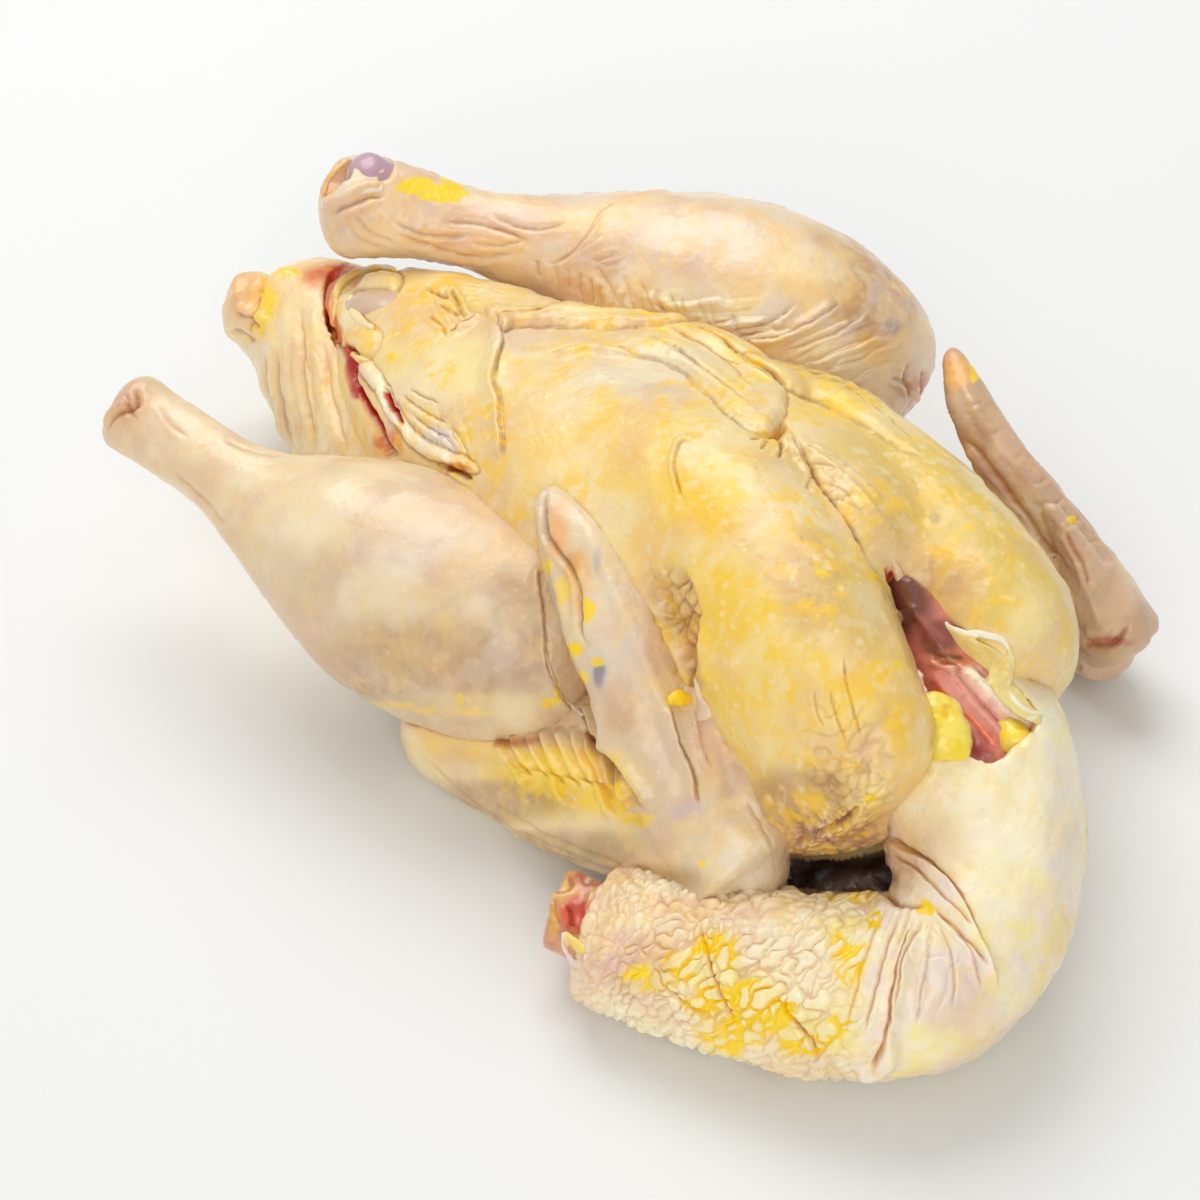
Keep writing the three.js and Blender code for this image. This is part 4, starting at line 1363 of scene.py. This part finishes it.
# ------------------------------------------------------------------ right wing
# The right wing, folded behind the breast with its hand standing up past it: thin skin over the hand's
# bones, pinkish brown in their shade.
right_wing = Skin(
    "right_wing_skin",
    LIMBS["right_wing"],
    voxel=0.75,
    colours={
        "upper_arm": (205, 172, 142),
        "forearm": (220, 188, 158),
        "hand": (204, 168, 136),
        "thumb": (220, 186, 154),
    },
)
right_wing.ridges(
    {
        "bone a": (1.0, 6, [(958, 378), (985, 425), (1018, 470), (1055, 515), (1085, 560)]),
        "bone b": (0.9, 6, [(1075, 560), (1092, 600), (1100, 630)]),
        "bone c": (0.8, 6, [(1105, 560), (1125, 595), (1135, 620)]),
    }
)
right_wing.creases(
    {
        "red": (1.2, 2.4, [(1062, 528), (1078, 552), (1088, 575), (1091, 592)]),
        "groove": (1.6, 4, [(952, 434), (978, 450), (1002, 482), (1030, 520), (1056, 560), (1070, 600)]),
        "foot": (1.6, 3, [(1133, 622), (1117, 643), (1100, 646), (1072, 634)]),
    }
)
right_wing.rows(
    {
        "skin lines": (
            7, 0.5, 2.5,
            [(960, 400), (1000, 450), (1050, 510), (1100, 570)],
            [(975, 392), (1015, 440), (1066, 500), (1118, 560)],
        ),
    }
)
# The dark browns at (990, 470), (1040, 560) and (1022, 522) are painted shade on the wing's underside, and
# the paler tone at (1116, 592) is painted light on its lit edge.
right_wing.stains(
    [
        ((188, 140, 110), (990, 470), (50, 60), 0.8),
        ((176, 132, 108), (1040, 560), (50, 70), 0.6),
        ((222, 184, 148), (1116, 592), (34, 60), 0.8),
        ((240, 200, 172), (1010, 440), (26, 50), 0.5),
        ((240, 168, 138), (940, 358), (18, 26), 0.8),
        ((244, 178, 88), (958, 372), (20, 26), 0.9),
        ((168, 130, 88), (1022, 522), (34, 34), 0.8),
        ((170, 60, 50), (1105, 642), (34, 8), 0.8),
    ]
)
right_wing.spots(
    "yellow",
    [((973, 374), (5, 12), 1.0), ((1070, 520), (5, 5), 1.0)],
)
right_wing.spots("raw", [((935, 352), (4, 5), 0.7)])
right_wing.marks["mottled"] += 0.2
right_wing.finish(wing_material, crumple=1.0)
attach(right_wing.piece, "root")
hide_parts("chicken")

# ------------------------------------------------------------------ neck
# The neck's skin, doubled back beside the breast. Round the bend it is smooth and thick with fat, then
# it is drawn together in a fan of creases, and beyond them it is puckered like a sleeve pushed up.
NECK_LEDGES = {
    "bend edge": (2.2, 12, [(997, 990), (990, 965), (965, 908), (938, 872), (912, 852), (884, 836)]),
    "band edge": (1.0, 6, [(972, 930), (945, 903), (916, 872), (896, 852)]),
    "big fold": (1.8, 8, [(912, 925), (902, 960), (893, 995), (890, 1030), (872, 1074)]),
}
NECK_CREASES = {
    "fan a": (0.8, 1.8, [(925, 915), (908, 950), (898, 985), (894, 1010)]),
    "fan b": (0.5, 1.8, [(930, 916), (928, 950), (922, 990), (914, 1030)]),
    "fan c": (0.6, 1.8, [(936, 918), (950, 950), (954, 985), (950, 1010)]),
    "fan d": (0.6, 1.8, [(942, 918), (966, 945), (978, 975), (984, 992)]),
    "fan e": (1.2, 2.2, [(931, 905), (952, 925), (974, 950), (986, 968)]),
    "fan f": (0.7, 1.8, [(902, 905), (888, 945), (876, 990), (862, 1040)]),
    "fan g": (0.6, 1.8, [(890, 900), (872, 940), (858, 985), (842, 1040)]),
    "fan h": (0.5, 1.8, [(915, 900), (905, 925), (896, 950)]),
    "ring a": (1.1, 2.0, [(700, 916), (705, 949), (716, 983), (728, 1014), (734, 1034)]),
    "ring b": (1.0, 2.0, [(790, 990), (786, 1010), (802, 1030), (816, 1049), (816, 1066)]),
    "ring c": (0.8, 2.4, [(660, 985), (690, 1005), (712, 1020)]),
    "dark corner": (2.4, 4, [(868, 874), (884, 890), (898, 902), (926, 906)]),
}
neck = Skin(
    "neck_skin",
    LIMBS["neck"],
    cuts=((CROP_CUT, 1.0),),
    voxel=0.9,
    colours={"neck": (251, 236, 200), "web_painted_shade": (228, 196, 150)},
    fine=[
        (8, [f[-1] for f in (*NECK_LEDGES.values(), *NECK_CREASES.values())]),
        (60, [[(640, 950), (720, 985), (800, 1000), (850, 950)]]),
    ],
)
neck.ledges(NECK_LEDGES)
neck.ridges(
    {
        "bend band": (1.0, 6, [(885, 850), (905, 876), (930, 898), (960, 916)]),
        "collar": (1.4, 5, [(592, 990), (588, 955), (600, 925), (608, 900), (622, 878)]),
        "corner": (1.6, 7, [(852, 1070), (872, 1076), (890, 1060), (892, 1030)]),
    }
)
neck.creases(NECK_CREASES)
along = neck.along["neck"]
puckered = ramp(along, 0.475, 0.54) * ramp(along, 1.0, 0.86)
NECK_LENGTH, NECK_RADIUS = 135.0, 15.0
LUMP_LENGTH, LUMP_WIDTH = 2.7, 3.2
lengthwise, around = along * NECK_LENGTH / LUMP_LENGTH, neck.turn["neck"] * NECK_RADIUS / LUMP_WIDTH
sleeve = np.stack((lengthwise, around, np.zeros(len(along))), axis=1)
bent, jagged = noise_at(neck.place, 9.0, 21.0), noise_at(neck.place, 2.2, 23.0)
sleeve[:, 0] += 0.5 * sleeve[:, 1] + 0.7 * bent + 0.34 * jagged
sleeve[:, 1] += 0.6 * noise_at(neck.place, 7.0, 35.0) + 0.34 * noise_at(neck.place, 2.2, 37.0)
lumps = np.ones(len(along))
near = np.flatnonzero(puckered > 0.02)
lumps[near] = cells_at(sleeve[near], 1.0)
size = 0.75 + 0.6 * noise_at(neck.place, 8.0, 55.0)
neck.height += puckered * 1.7 * size * (lumps - 0.5) * (0.3 + 0.7 * ramp(along, 0.95, 0.8))
neck.height += puckered * 0.9 * noise_at(neck.place, 6.0, 57.0)
# The gaps between the puckers are marked for the crease tint and painted shade.
gaps = puckered * ramp(lumps, 0.3, 0.0) * (0.35 + 0.65 * ramp(noise_at(neck.place, 7.0, 83.0), -0.2, 0.3))
neck.crease = np.maximum(neck.crease, gaps * 0.7 * ramp(along, 0.97, 0.8))
neck.wrinkles(ramp(along, 0.8, 0.9), 2.6, 1.6, run=(0.5, 0.8, 0.0), depth=0.5, seed=9.0)
fan = neck.zone((930, 970), (60, 70))
neck.wrinkles(fan, 3.2, 3.0, run=(-0.3, -0.3, -1.0), depth=0.35, seed=71.0, dark=0.3)
mottles = noise_at(neck.place, 7.0, 63.0, 2)
bend = ramp(along, 0.62, 0.5)
neck.stain((252, 234, 150), 0.75 * ramp(mottles, 0.0, 0.35) * bend)
neck.stain((240, 226, 214), 0.6 * ramp(mottles, -0.1, -0.45) * bend)
neck.height += bend * (0.35 * noise_at(neck.place, 6.0, 67.0, 2) + 0.12 * noise_at(neck.place, 2.6, 69.0))
neck.stain((238, 198, 158), ramp(along, 0.8, 0.93) * 0.8)
neck.stain((226, 184, 168), neck.zone((630, 960), (70, 40)) * 0.7)
# The dark brown at (866, 880) is painted shade in the corner of the gap between throat and neck.
neck.stains(
    [
        ((255, 243, 208), (980, 815), (110, 140), 0.65),
        ((236, 226, 214), (1062, 830), (26, 120), 0.6),
        ((234, 218, 210), (945, 985), (56, 64), 0.8),
        ((234, 200, 184), (905, 870), (36, 26), 0.8),
        ((244, 228, 222), (940, 895), (34, 26), 0.7),
        ((150, 80, 50), (866, 880), (40, 12), 0.8),
        ((232, 190, 150), (740, 905), (130, 18), 0.6),
        ((250, 234, 196), (800, 960), (90, 70), 0.4),
    ]
)
patches = sum(
    neck.zone(centre, reach)
    for centre, reach in (
        ((856, 884), (44, 24)), ((850, 950), (24, 50)), ((884, 925), (24, 26)), ((716, 955), (34, 34)),
        ((745, 990), (44, 30)), ((690, 970), (60, 26)), ((735, 1030), (50, 28)), ((775, 1010), (30, 30)),
        ((830, 1030), (40, 34)), ((640, 980), (34, 20)), ((800, 1040), (30, 30)), ((925, 909), (14, 12)),
        ((704, 1002), (28, 20)), ((722, 1046), (24, 20)),
    )
)
fatty = np.clip(patches, 0, 1) * ramp(noise_at(neck.place, 5.5, 13.0), -0.4, -0.05)
neck.marks["yellow"] = np.clip(fatty * 1.3 * ramp(lumps, 0.8, 0.4), 0, 1)
neck.stain((250, 226, 120), 0.6 * np.clip(patches, 0, 1) * puckered)
neck.spots(
    "yellow",
    [((925, 909), (9, 7), 1), ((634, 976), (11, 6), 1), ((718, 938), (9, 5), 1), ((870, 881), (8, 8), 1)],
)
# The gap between throat and neck is dark where the camera looks down into it: the web of skin at its bottom
# is painted near black there as painted shade, and loses its yellow, crease marks, mottling and most of its
# relief.
web_painted_shade = neck.part("web_painted_shade")
neck.stain((40, 16, 10), web_painted_shade * neck.seen)
neck.marks["yellow"] *= 1 - web_painted_shade
neck.crease *= 1 - web_painted_shade
neck.height *= 1 - 0.8 * web_painted_shade
neck.marks["mottled"] += 0.45
neck_material = wet_skin("wet_neck_skin", fat=(251, 218, 130), pale=(252, 240, 214), flushed=0.2)
# The slit's right end lies between two flaps of skin, so its wall there is yellow and not raw.
SLIT_END_U = (1020, 1036)
neck_wall = neck.inside * ramp(neck.u, *SLIT_END_U)
neck.stain((244, 222, 140), neck_wall)
neck.inside = neck.inside - neck_wall
neck.marks["mottled"] *= 1 - web_painted_shade
neck.finish(neck_material, crumple=0.8, crease_tint_and_shade=(206, 132, 70), reach=0.85)
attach(neck.piece, "root")
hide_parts("chicken")

# ------------------------------------------------------------------ flesh in the slit
# The crop is slit open over the neck's root: long strands of muscle run down into the neck, darkened
# with painted shade where they go in under the skin, with a pale tendon along them and two lumps of fat
# at the neck's edge.
CROP_MEAT = [
    [5, -74, 66, 1.5, 5], [5, -82, 60, 5, 7], [4, -92, 53, 9, 8], [2, -103, 46, 12, 8],
    [1, -111, 42, 11, 7],
]


def wet_flesh(name, dark=(140, 52, 44), flushed=0.5):
    """Bare meat, fat or gristle: coloured by its tint, darker in its grain, and wet."""
    material = bpy.data.materials.new(name)
    material.use_nodes = True
    tree = material.node_tree
    shader = tree.nodes["Principled BSDF"]
    spot = add_node(tree, "ShaderNodeTexCoord").outputs["Object"]
    tint = add_node(tree, "ShaderNodeAttribute", attribute_name="tint").outputs["Color"]
    grain = add_node(tree, "ShaderNodeTexNoise", {"Vector": spot, "Scale": 420.0, "Detail": 4.0})
    streaked = spread(tree, grain.outputs["Fac"], 0.5, 0.75, 0.0, flushed)
    shade = mix_colour(tree, streaked, tint, colour(*dark))
    tree.links.new(shade, shader.inputs["Base Color"])
    tree.links.new(add_bump(tree, grain.outputs["Fac"], 0.4, 0.0008), shader.inputs["Normal"])
    tree.links.new(spread(tree, grain.outputs["Fac"], 0.3, 0.7, 0.22, 0.4), shader.inputs["Roughness"])
    make_wet(shader, depth=0.2, bleed=(1.0, 0.4, 0.25), coat=0.5, coat_roughness=0.12)
    return material


crop_flesh = Skin(
    "crop_flesh",
    {"meat": (CROP_MEAT, {"grow": 0.6})},
    voxel=0.5,
    rounds=2,
    colours={"meat": (224, 136, 114)},
    sheltered=True,
)
crop_flesh.ridges(
    {
        "tendon": (1.2, 5, [(958, 662), (985, 690), (1012, 715), (1036, 738)]),
        "left strand": (0.8, 6, [(932, 668), (950, 700), (972, 735), (985, 756)]),
        "right strand": (0.7, 6, [(968, 655), (1000, 688), (1028, 712), (1046, 735)]),
        "upper strand": (0.8, 6, [(905, 598), (925, 625), (948, 655), (962, 676)]),
    }
)
crop_flesh.creases(
    {
        "beside tendon": (0.8, 2.2, [(950, 664), (972, 692), (998, 718), (1020, 745)]),
        "beyond tendon": (0.7, 2.2, [(968, 662), (996, 690), (1022, 712), (1044, 733)]),
        "left": (0.8, 2.2, [(940, 690), (960, 712), (985, 738), (1000, 750)]),
        "cross tear": (0.9, 2.5, [(932, 656), (945, 662), (962, 664)]),
    },
    dark=0.5,
)
# The dark maroon at (902, 602) and (938, 638), in the cavity where the strands go in under the skin, is
# partly the meat's colour, partly painted shade.
crop_flesh.stains(
    [
        ((84, 24, 16), (902, 602), (46, 50), 0.95),
        ((112, 36, 26), (938, 638), (30, 26), 0.9),
        ((206, 112, 66), (952, 660), (28, 12), 0.85),
        ((238, 156, 142), (955, 694), (26, 26), 0.85),
        ((190, 74, 84), (980, 744), (18, 22), 0.9),
        ((232, 168, 134), (1026, 716), (34, 36), 0.7),
    ]
)
# The near black streak from (926, 648) to (966, 658) is painted shade in the narrow channel above the
# crossing strands.
crop_flesh.streaks(
    [
        ((250, 118, 52), 3.2, 1.0, [(934, 686), (960, 712), (985, 733), (1000, 746)]),
        ((255, 244, 214), 6.0, 1.0, [(962, 666), (984, 688), (1008, 710), (1032, 730)]),
        ((240, 190, 170), 3.0, 0.8, [(944, 664), (966, 682), (988, 704)]),
        ((196, 110, 92), 3.0, 0.8, [(975, 668), (1004, 694), (1036, 722), (1044, 740)]),
        ((236, 176, 120), 1.8, 0.9, [(934, 662), (948, 658), (964, 668)]),
        ((64, 16, 12), 2.6, 0.8, [(926, 648), (944, 656), (966, 658)]),
        ((176, 84, 72), 2.4, 0.6, [(914, 612), (930, 628), (946, 642)]),
    ]
)
flesh_material = wet_flesh("wet_flesh", flushed=0.35)
crop_flesh.finish(flesh_material, crumple=0.6, swells=0.2, crease_tint_and_shade=(96, 28, 22), drifting=0.1)
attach(crop_flesh.piece, "root")
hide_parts("crop_meat")

FAT_LUMP_LARGE = [
    [-7, -96.5, 57, 3.2, 3.2], [-10, -100.5, 56.4, 4.8, 4.8], [-12, -104.5, 54, 5, 5],
    [-13, -106.5, 51.5, 3.8, 3.8],
]
FAT_LUMP_SMALL = [[3, -107, 51, 2.8, 2.8], [0, -113, 50, 3, 3]]
fat_material = wet_flesh("crop_fat", dark=(232, 186, 60), flushed=0.4)
for name, node, stations, inset, grow in (
    ("large_fat_lump", "fat_lump_large", FAT_LUMP_LARGE, 0.15, 0.5),
    ("small_fat_lump", "fat_lump_small", FAT_LUMP_SMALL, 0.3, 0.7),
):
    lump = Skin(
        name,
        {"fat": (stations, {"inset": inset, "grow": grow})},
        voxel=0.45,
        rounds=2,
        colours={"fat": (252, 230, 96)},
        sheltered=True,
    )
    lump.height += 0.7 * noise_at(lump.place, 5.0, 4.0) + 0.25 * noise_at(lump.place, 2.2, 8.0)
    lump.stain((255, 220, 14), 0.8 * ramp(noise_at(lump.place, 4.0, 2.0), -0.1, 0.3))
    # The orange brown in the lump's hollows is partly the fat's tone, partly painted shade.
    lump.stain((226, 150, 40), 0.7 * ramp(lump.height, -0.25, -0.6))
    lump.finish(fat_material, crumple=1.0, swells=0.3, drifting=0.1)
    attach(lump.piece, "root")
    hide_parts(node)

# ------------------------------------------------------------------ neck's cut end
# The neck was cut through behind its skin's collar: red meat round the bone, with fat between the meat
# and the skin and an orange dried rim.
NECK_MEAT = [
    [-6, -104, 30, 7, 7], [-12, -115, 28, 8.5, 8], [-23, -122, 25, 9.5, 9], [-37, -121, 21, 9.5, 9],
    [-48, -110, 17, 9.5, 9], [-57, -94, 15, 9, 8.5], [-64, -79, 15, 8.5, 8], [-69, -66, 15, 8.5, 8],
    [-73, -57, 15.5, 8.5, 8],
]
neck_flesh = Skin(
    "neck_flesh",
    {"meat": (NECK_MEAT, {"inset": 0.012})},
    voxel=0.6,
    rounds=1,
    colours={"meat": (214, 150, 112)},
    sheltered=True,
)
cut_end = ramp(neck_flesh.along["meat"], 0.8, 0.88)
neck_flesh.height += cut_end * 1.2 * noise_at(neck_flesh.place, 7.0, 3.0)
neck_flesh.ledges(
    {
        "corner": (0.8, 8, [(572, 874), (574, 888), (560, 894), (550, 890)]),
        "meat": (0.7, 7, [(622, 884), (604, 890), (586, 888), (578, 880)]),
        "red field": (0.7, 7, [(590, 892), (586, 912), (592, 934), (584, 946)]),
    }
)
neck_flesh.creases(
    {
        "sinew": (0.5, 2, [(583, 889), (596, 880), (610, 873)]),
        "cleft": (1.2, 2.4, [(566, 902), (572, 914), (574, 930)]),
        "rim": (0.6, 2, [(556, 896), (556, 912), (560, 928)]),
    }
)
neck_flesh.stains(
    [
        ((236, 184, 104), (560, 886), (26, 22), 0.95),
        ((190, 100, 84), (598, 882), (34, 16), 0.95),
        ((242, 214, 134), (602, 908), (22, 26), 0.95),
        ((222, 84, 52), (576, 916), (22, 26), 0.95),
        ((186, 50, 34), (578, 908), (10, 12), 0.7),
        ((232, 176, 84), (552, 920), (10, 26), 0.95),
        ((246, 212, 90), (578, 944), (16, 12), 0.95),
    ]
)
neck_flesh.streaks([((244, 226, 206), 2.2, 0.8, [(584, 884), (598, 876), (610, 871)])])
neck_flesh.finish(flesh_material, crumple=0.7, swells=0.2, crease_tint_and_shade=(140, 46, 30), drifting=0.1)
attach(neck_flesh.piece, "root")
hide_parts("neck_meat")

# ------------------------------------------------------------------ cartilages
# Bare gristle, firm and glossy: a lilac knob in each cut hock, held in the shank's skin, and the end of
# the keel, which shows through a hole in the skin.
LEFT_HOCK_KNOB = [[-57, 86, 51, 4, 4], [-61.5, 91, 52.5, 4.6, 4.6]]
RIGHT_HOCK_KNOB = [[24, 89, 65, 4.5, 4.5], [14, 97, 73.6, 5.8, 5.3]]
KEEL_END = [[-1, 82, 48, 5, 4], [0, 74, 53, 5.5, 4.5], [3, 60, 56, 5, 4]]
gristle_material = wet_flesh("wet_gristle", dark=(200, 150, 150), flushed=0.35)
for name, node, stations, inset, tone in (
    ("left_hock_knob", "left_hock_cartilage", LEFT_HOCK_KNOB, 0.3, (214, 176, 178)),
    ("right_hock_knob", "right_hock_cartilage", RIGHT_HOCK_KNOB, 0.3, (194, 158, 172)),
    ("keel_end", "keel_cartilage", KEEL_END, 0.15, (214, 184, 156)),
):
    knob = Skin(
        name,
        {"gristle": (stations, {"inset": inset, "grow": 0.4})},
        voxel=0.5,
        rounds=2,
        colours={"gristle": tone},
        sheltered=True,
    )
    knob.finish(gristle_material, crumple=0.6, swells=0.25, drifting=0.15)
    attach(knob.piece, "root")
    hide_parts(node)

# ------------------------------------------------------------------ torn edges of the skin
# Where the skin was cut or torn its edge stands up as a thin pale strip: round the slit over the crop,
# beside the vent, at the hocks, at the wing's thumb and where the neck was cut.


def spot_under(u, v):
    """The first spot of the bird's form under a pixel of the view, in millimetres, and the way it faces."""
    ahead = view_back * VIEW_LENS / SENSOR * FRAME_SIDE
    aim = view_right * (u - FRAME_SIDE / 2) - view_up * (v - FRAME_SIDE / 2) - ahead
    aim = Vector(aim).normalized()
    eye = Vector((view_eye + MIDLINE) * MM)
    place, facing, _, _ = bird_tree.ray_cast(eye, aim)
    if place is None:
        # A pixel beside the bird takes the spot that lies nearest to the line of sight.
        misses = [eye + aim * VIEW_DISTANCE * share * MM for share in np.linspace(0.8, 1.2, 161)]
        place = min(misses, key=lambda spot: bird_tree.find_nearest(spot)[3])
        facing = bird_tree.find_nearest(place)[1]
    return np.array(place) / MM - MIDLINE, np.array(facing)


def laid_on(line, wide, thick, lift=0.0, tilt=0.0):
    """Stations of a flat strip on the bird along a line of the view; its half widths are millimetres."""
    spots = [spot_under(*p) for p in line]
    widths = np.interp(np.linspace(0, 1, len(line)), np.linspace(0, 1, len(wide)), wide)
    stations = []
    for k, (place, facing) in enumerate(spots):
        run = spots[min(k + 1, len(spots) - 1)][0] - spots[max(k - 1, 0)][0]
        run /= np.linalg.norm(run)
        side = np.cross((0, 0, 1), run)
        side /= np.linalg.norm(side)
        roll = math.degrees(math.atan2(-side @ facing, np.cross(run, side) @ facing)) + tilt
        stations.append([*(place + facing * lift), widths[k], thick, roll])
    return stations


# Each strip: colour, half widths along it and half thickness in mm, how far it is lifted off the skin in
# mm and tilted in degrees, and its line in the view.
TORN_EDGES = {
    "slit rim": (
        (252, 244, 220), (0.4, 0.8, 0.8, 0.6), 0.5, -0.1, 0,
        [
            (922, 588), (931, 601), (943, 623), (966, 634), (979, 634), (1003, 641), (1011, 654),
            (1008, 686), (1014, 699), (1028, 711), (1046, 714),
        ],
    ),
    "slit inside": (
        (238, 212, 130), (0.8, 2.2, 3.2, 3.4), 0.5, -0.3, 14,
        [(928, 604), (942, 628), (960, 644), (980, 656), (994, 668), (1000, 684)],
    ),
    "slit corner": (
        (240, 218, 140), (2.2, 3.0, 2.4, 1.2), 0.5, -0.2, 10,
        [(1004, 656), (1002, 680), (1012, 696), (1026, 710), (1042, 720)],
    ),
    "slit pleat": (
        (234, 204, 160), (0.5, 1.1, 1.4, 1.2), 1.0, -0.8, 0,
        [(893, 558), (900, 572), (907, 586), (913, 600)],
    ),
    "lobe tissue": (
        (206, 168, 118), (0.4, 1.2, 1.6, 0.9, 0.4), 0.6, -0.3, 0,
        [(886, 596), (893, 608), (901, 620), (910, 636), (917, 650)],
    ),
    "neck rim": (
        (246, 236, 206), (0.5, 0.7, 0.3), 0.5, -0.3, 0,
        [(1038, 716), (1048, 713), (1055, 720), (1060, 732)],
    ),
    "hock skin": (
        (248, 230, 214), (0.8, 1.6, 1.2), 0.5, 0.1, 0,
        [(320, 207), (336, 200), (356, 190), (384, 187)],
    ),
    "hock rim": (
        (240, 196, 130), (0.6, 1.0, 0.5), 0.6, -0.2, 0,
        [(322, 196), (326, 182), (336, 168), (350, 158)],
    ),
    "thumb tip": ((232, 206, 172), (2.0, 1.3, 0.3), 0.6, 0.2, 0, [(706, 720), (701, 698), (696, 677)]),
    "thumb tip b": ((228, 198, 162), (1.8, 1.1, 0.3), 0.6, 0.3, 0, [(694, 728), (690, 710), (687, 692)]),
    "wing fat": ((255, 212, 20), (0.8, 1.8, 0.8), 1.3, 0.7, 0, [(666, 703), (676, 699), (688, 702)]),
    "leg skin": (
        (240, 216, 186), (0.4, 0.7, 0.5), 0.5, 0.2, 0,
        [(545, 652), (556, 690), (572, 706), (584, 716)],
    ),
    "neck scrap": (
        (232, 204, 198), (0.8, 2.6, 2.4, 1.0), 0.5, -0.5, 0,
        [(560, 930), (563, 946), (570, 962), (580, 974), (592, 990)],
    ),
    "neck fat": ((248, 210, 96), (0.5, 1.3, 0.6), 0.8, 0.4, 0, [(566, 932), (577, 944), (590, 952)]),
    "keel fat": (
        (250, 218, 120), (0.6, 1.3, 1.0, 0.6), 0.9, 0.5, 0,
        [(337, 300), (340, 286), (356, 275), (376, 270), (396, 272)],
    ),
    "keel flap": (
        (250, 230, 176), (0.8, 1.5, 0.8), 0.8, 0.5, 0,
        [(352, 298), (354, 310), (362, 322), (374, 330)],
    ),
    "vent flesh": (
        (218, 84, 30), (1.6, 2.6, 2.0, 1.0), 1.2, -1.0, 0,
        [(352, 272), (338, 284), (333, 300), (335, 320), (340, 342)],
    ),
    "vent strand": (
        (240, 156, 70), (0.5, 0.9, 0.6), 0.7, -0.2, 0,
        [(346, 276), (336, 290), (331, 306), (333, 326)],
    ),
}
strips = {
    n: (laid_on(line, wide, thick, lift, tilt), {"inset": 0.04, "around": 16, "along": 48})
    for n, (_, wide, thick, lift, tilt, line) in TORN_EDGES.items()
}
torn = Skin(
    "torn_skin_edges",
    strips,
    voxel=0.3,
    rounds=2,
    colours={n: strip[0] for n, strip in TORN_EDGES.items()},
    sheltered=True,
)
torn.height += 0.22 * noise_at(torn.place, 2.4, 17.0)
torn.finish(neck_material, crumple=1.0, swells=0.1, drifting=0.15)
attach(torn.piece, "root")
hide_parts("chicken")

# ------------------------------------------------------------------ floor and light
# The bird lies on a wide pale floor under an even white sky, with two broad lamps: one over its tail, and
# one before its left wing.
FLOOR_REACH = 3.0
bm = bmesh.new()
bmesh.ops.create_grid(bm, x_segments=1, y_segments=1, size=FLOOR_REACH)
floor = object_of("floor", bm)
floor_material = bpy.data.materials.new("pale_floor")
floor_material.use_nodes = True
floor_shader = floor_material.node_tree.nodes["Principled BSDF"]
floor_shader.inputs["Base Color"].default_value = (0.86, 0.87, 0.86, 1)
floor_shader.inputs["Roughness"].default_value = 0.8
floor.data.materials.append(floor_material)

world = bpy.data.worlds.new("soft_studio")
bpy.context.scene.world = world
world.use_nodes = True
sky = world.node_tree.nodes["Background"]
sky.inputs["Color"].default_value = (1.0, 1.0, 1.0, 1)
sky.inputs["Strength"].default_value = 0.5
bpy.context.scene.view_settings.view_transform = "Standard"
for name, place, aim, size, power in (
    ("key", (0.25, 0.45, 0.9), (0, 0, 0.03), 0.8, 6.0),
    ("fill", (-0.9, -0.7, 0.7), (0, 0, 0.03), 0.9, 6.0),
):
    lamp = bpy.data.lights.new(name, "AREA")
    lamp.energy = power
    lamp.size = size
    holder = bpy.data.objects.new(name, lamp)
    holder.location = place
    holder.rotation_euler = (Vector(aim) - Vector(place)).to_track_quat("-Z", "Y").to_euler()
    bpy.context.scene.collection.objects.link(holder)
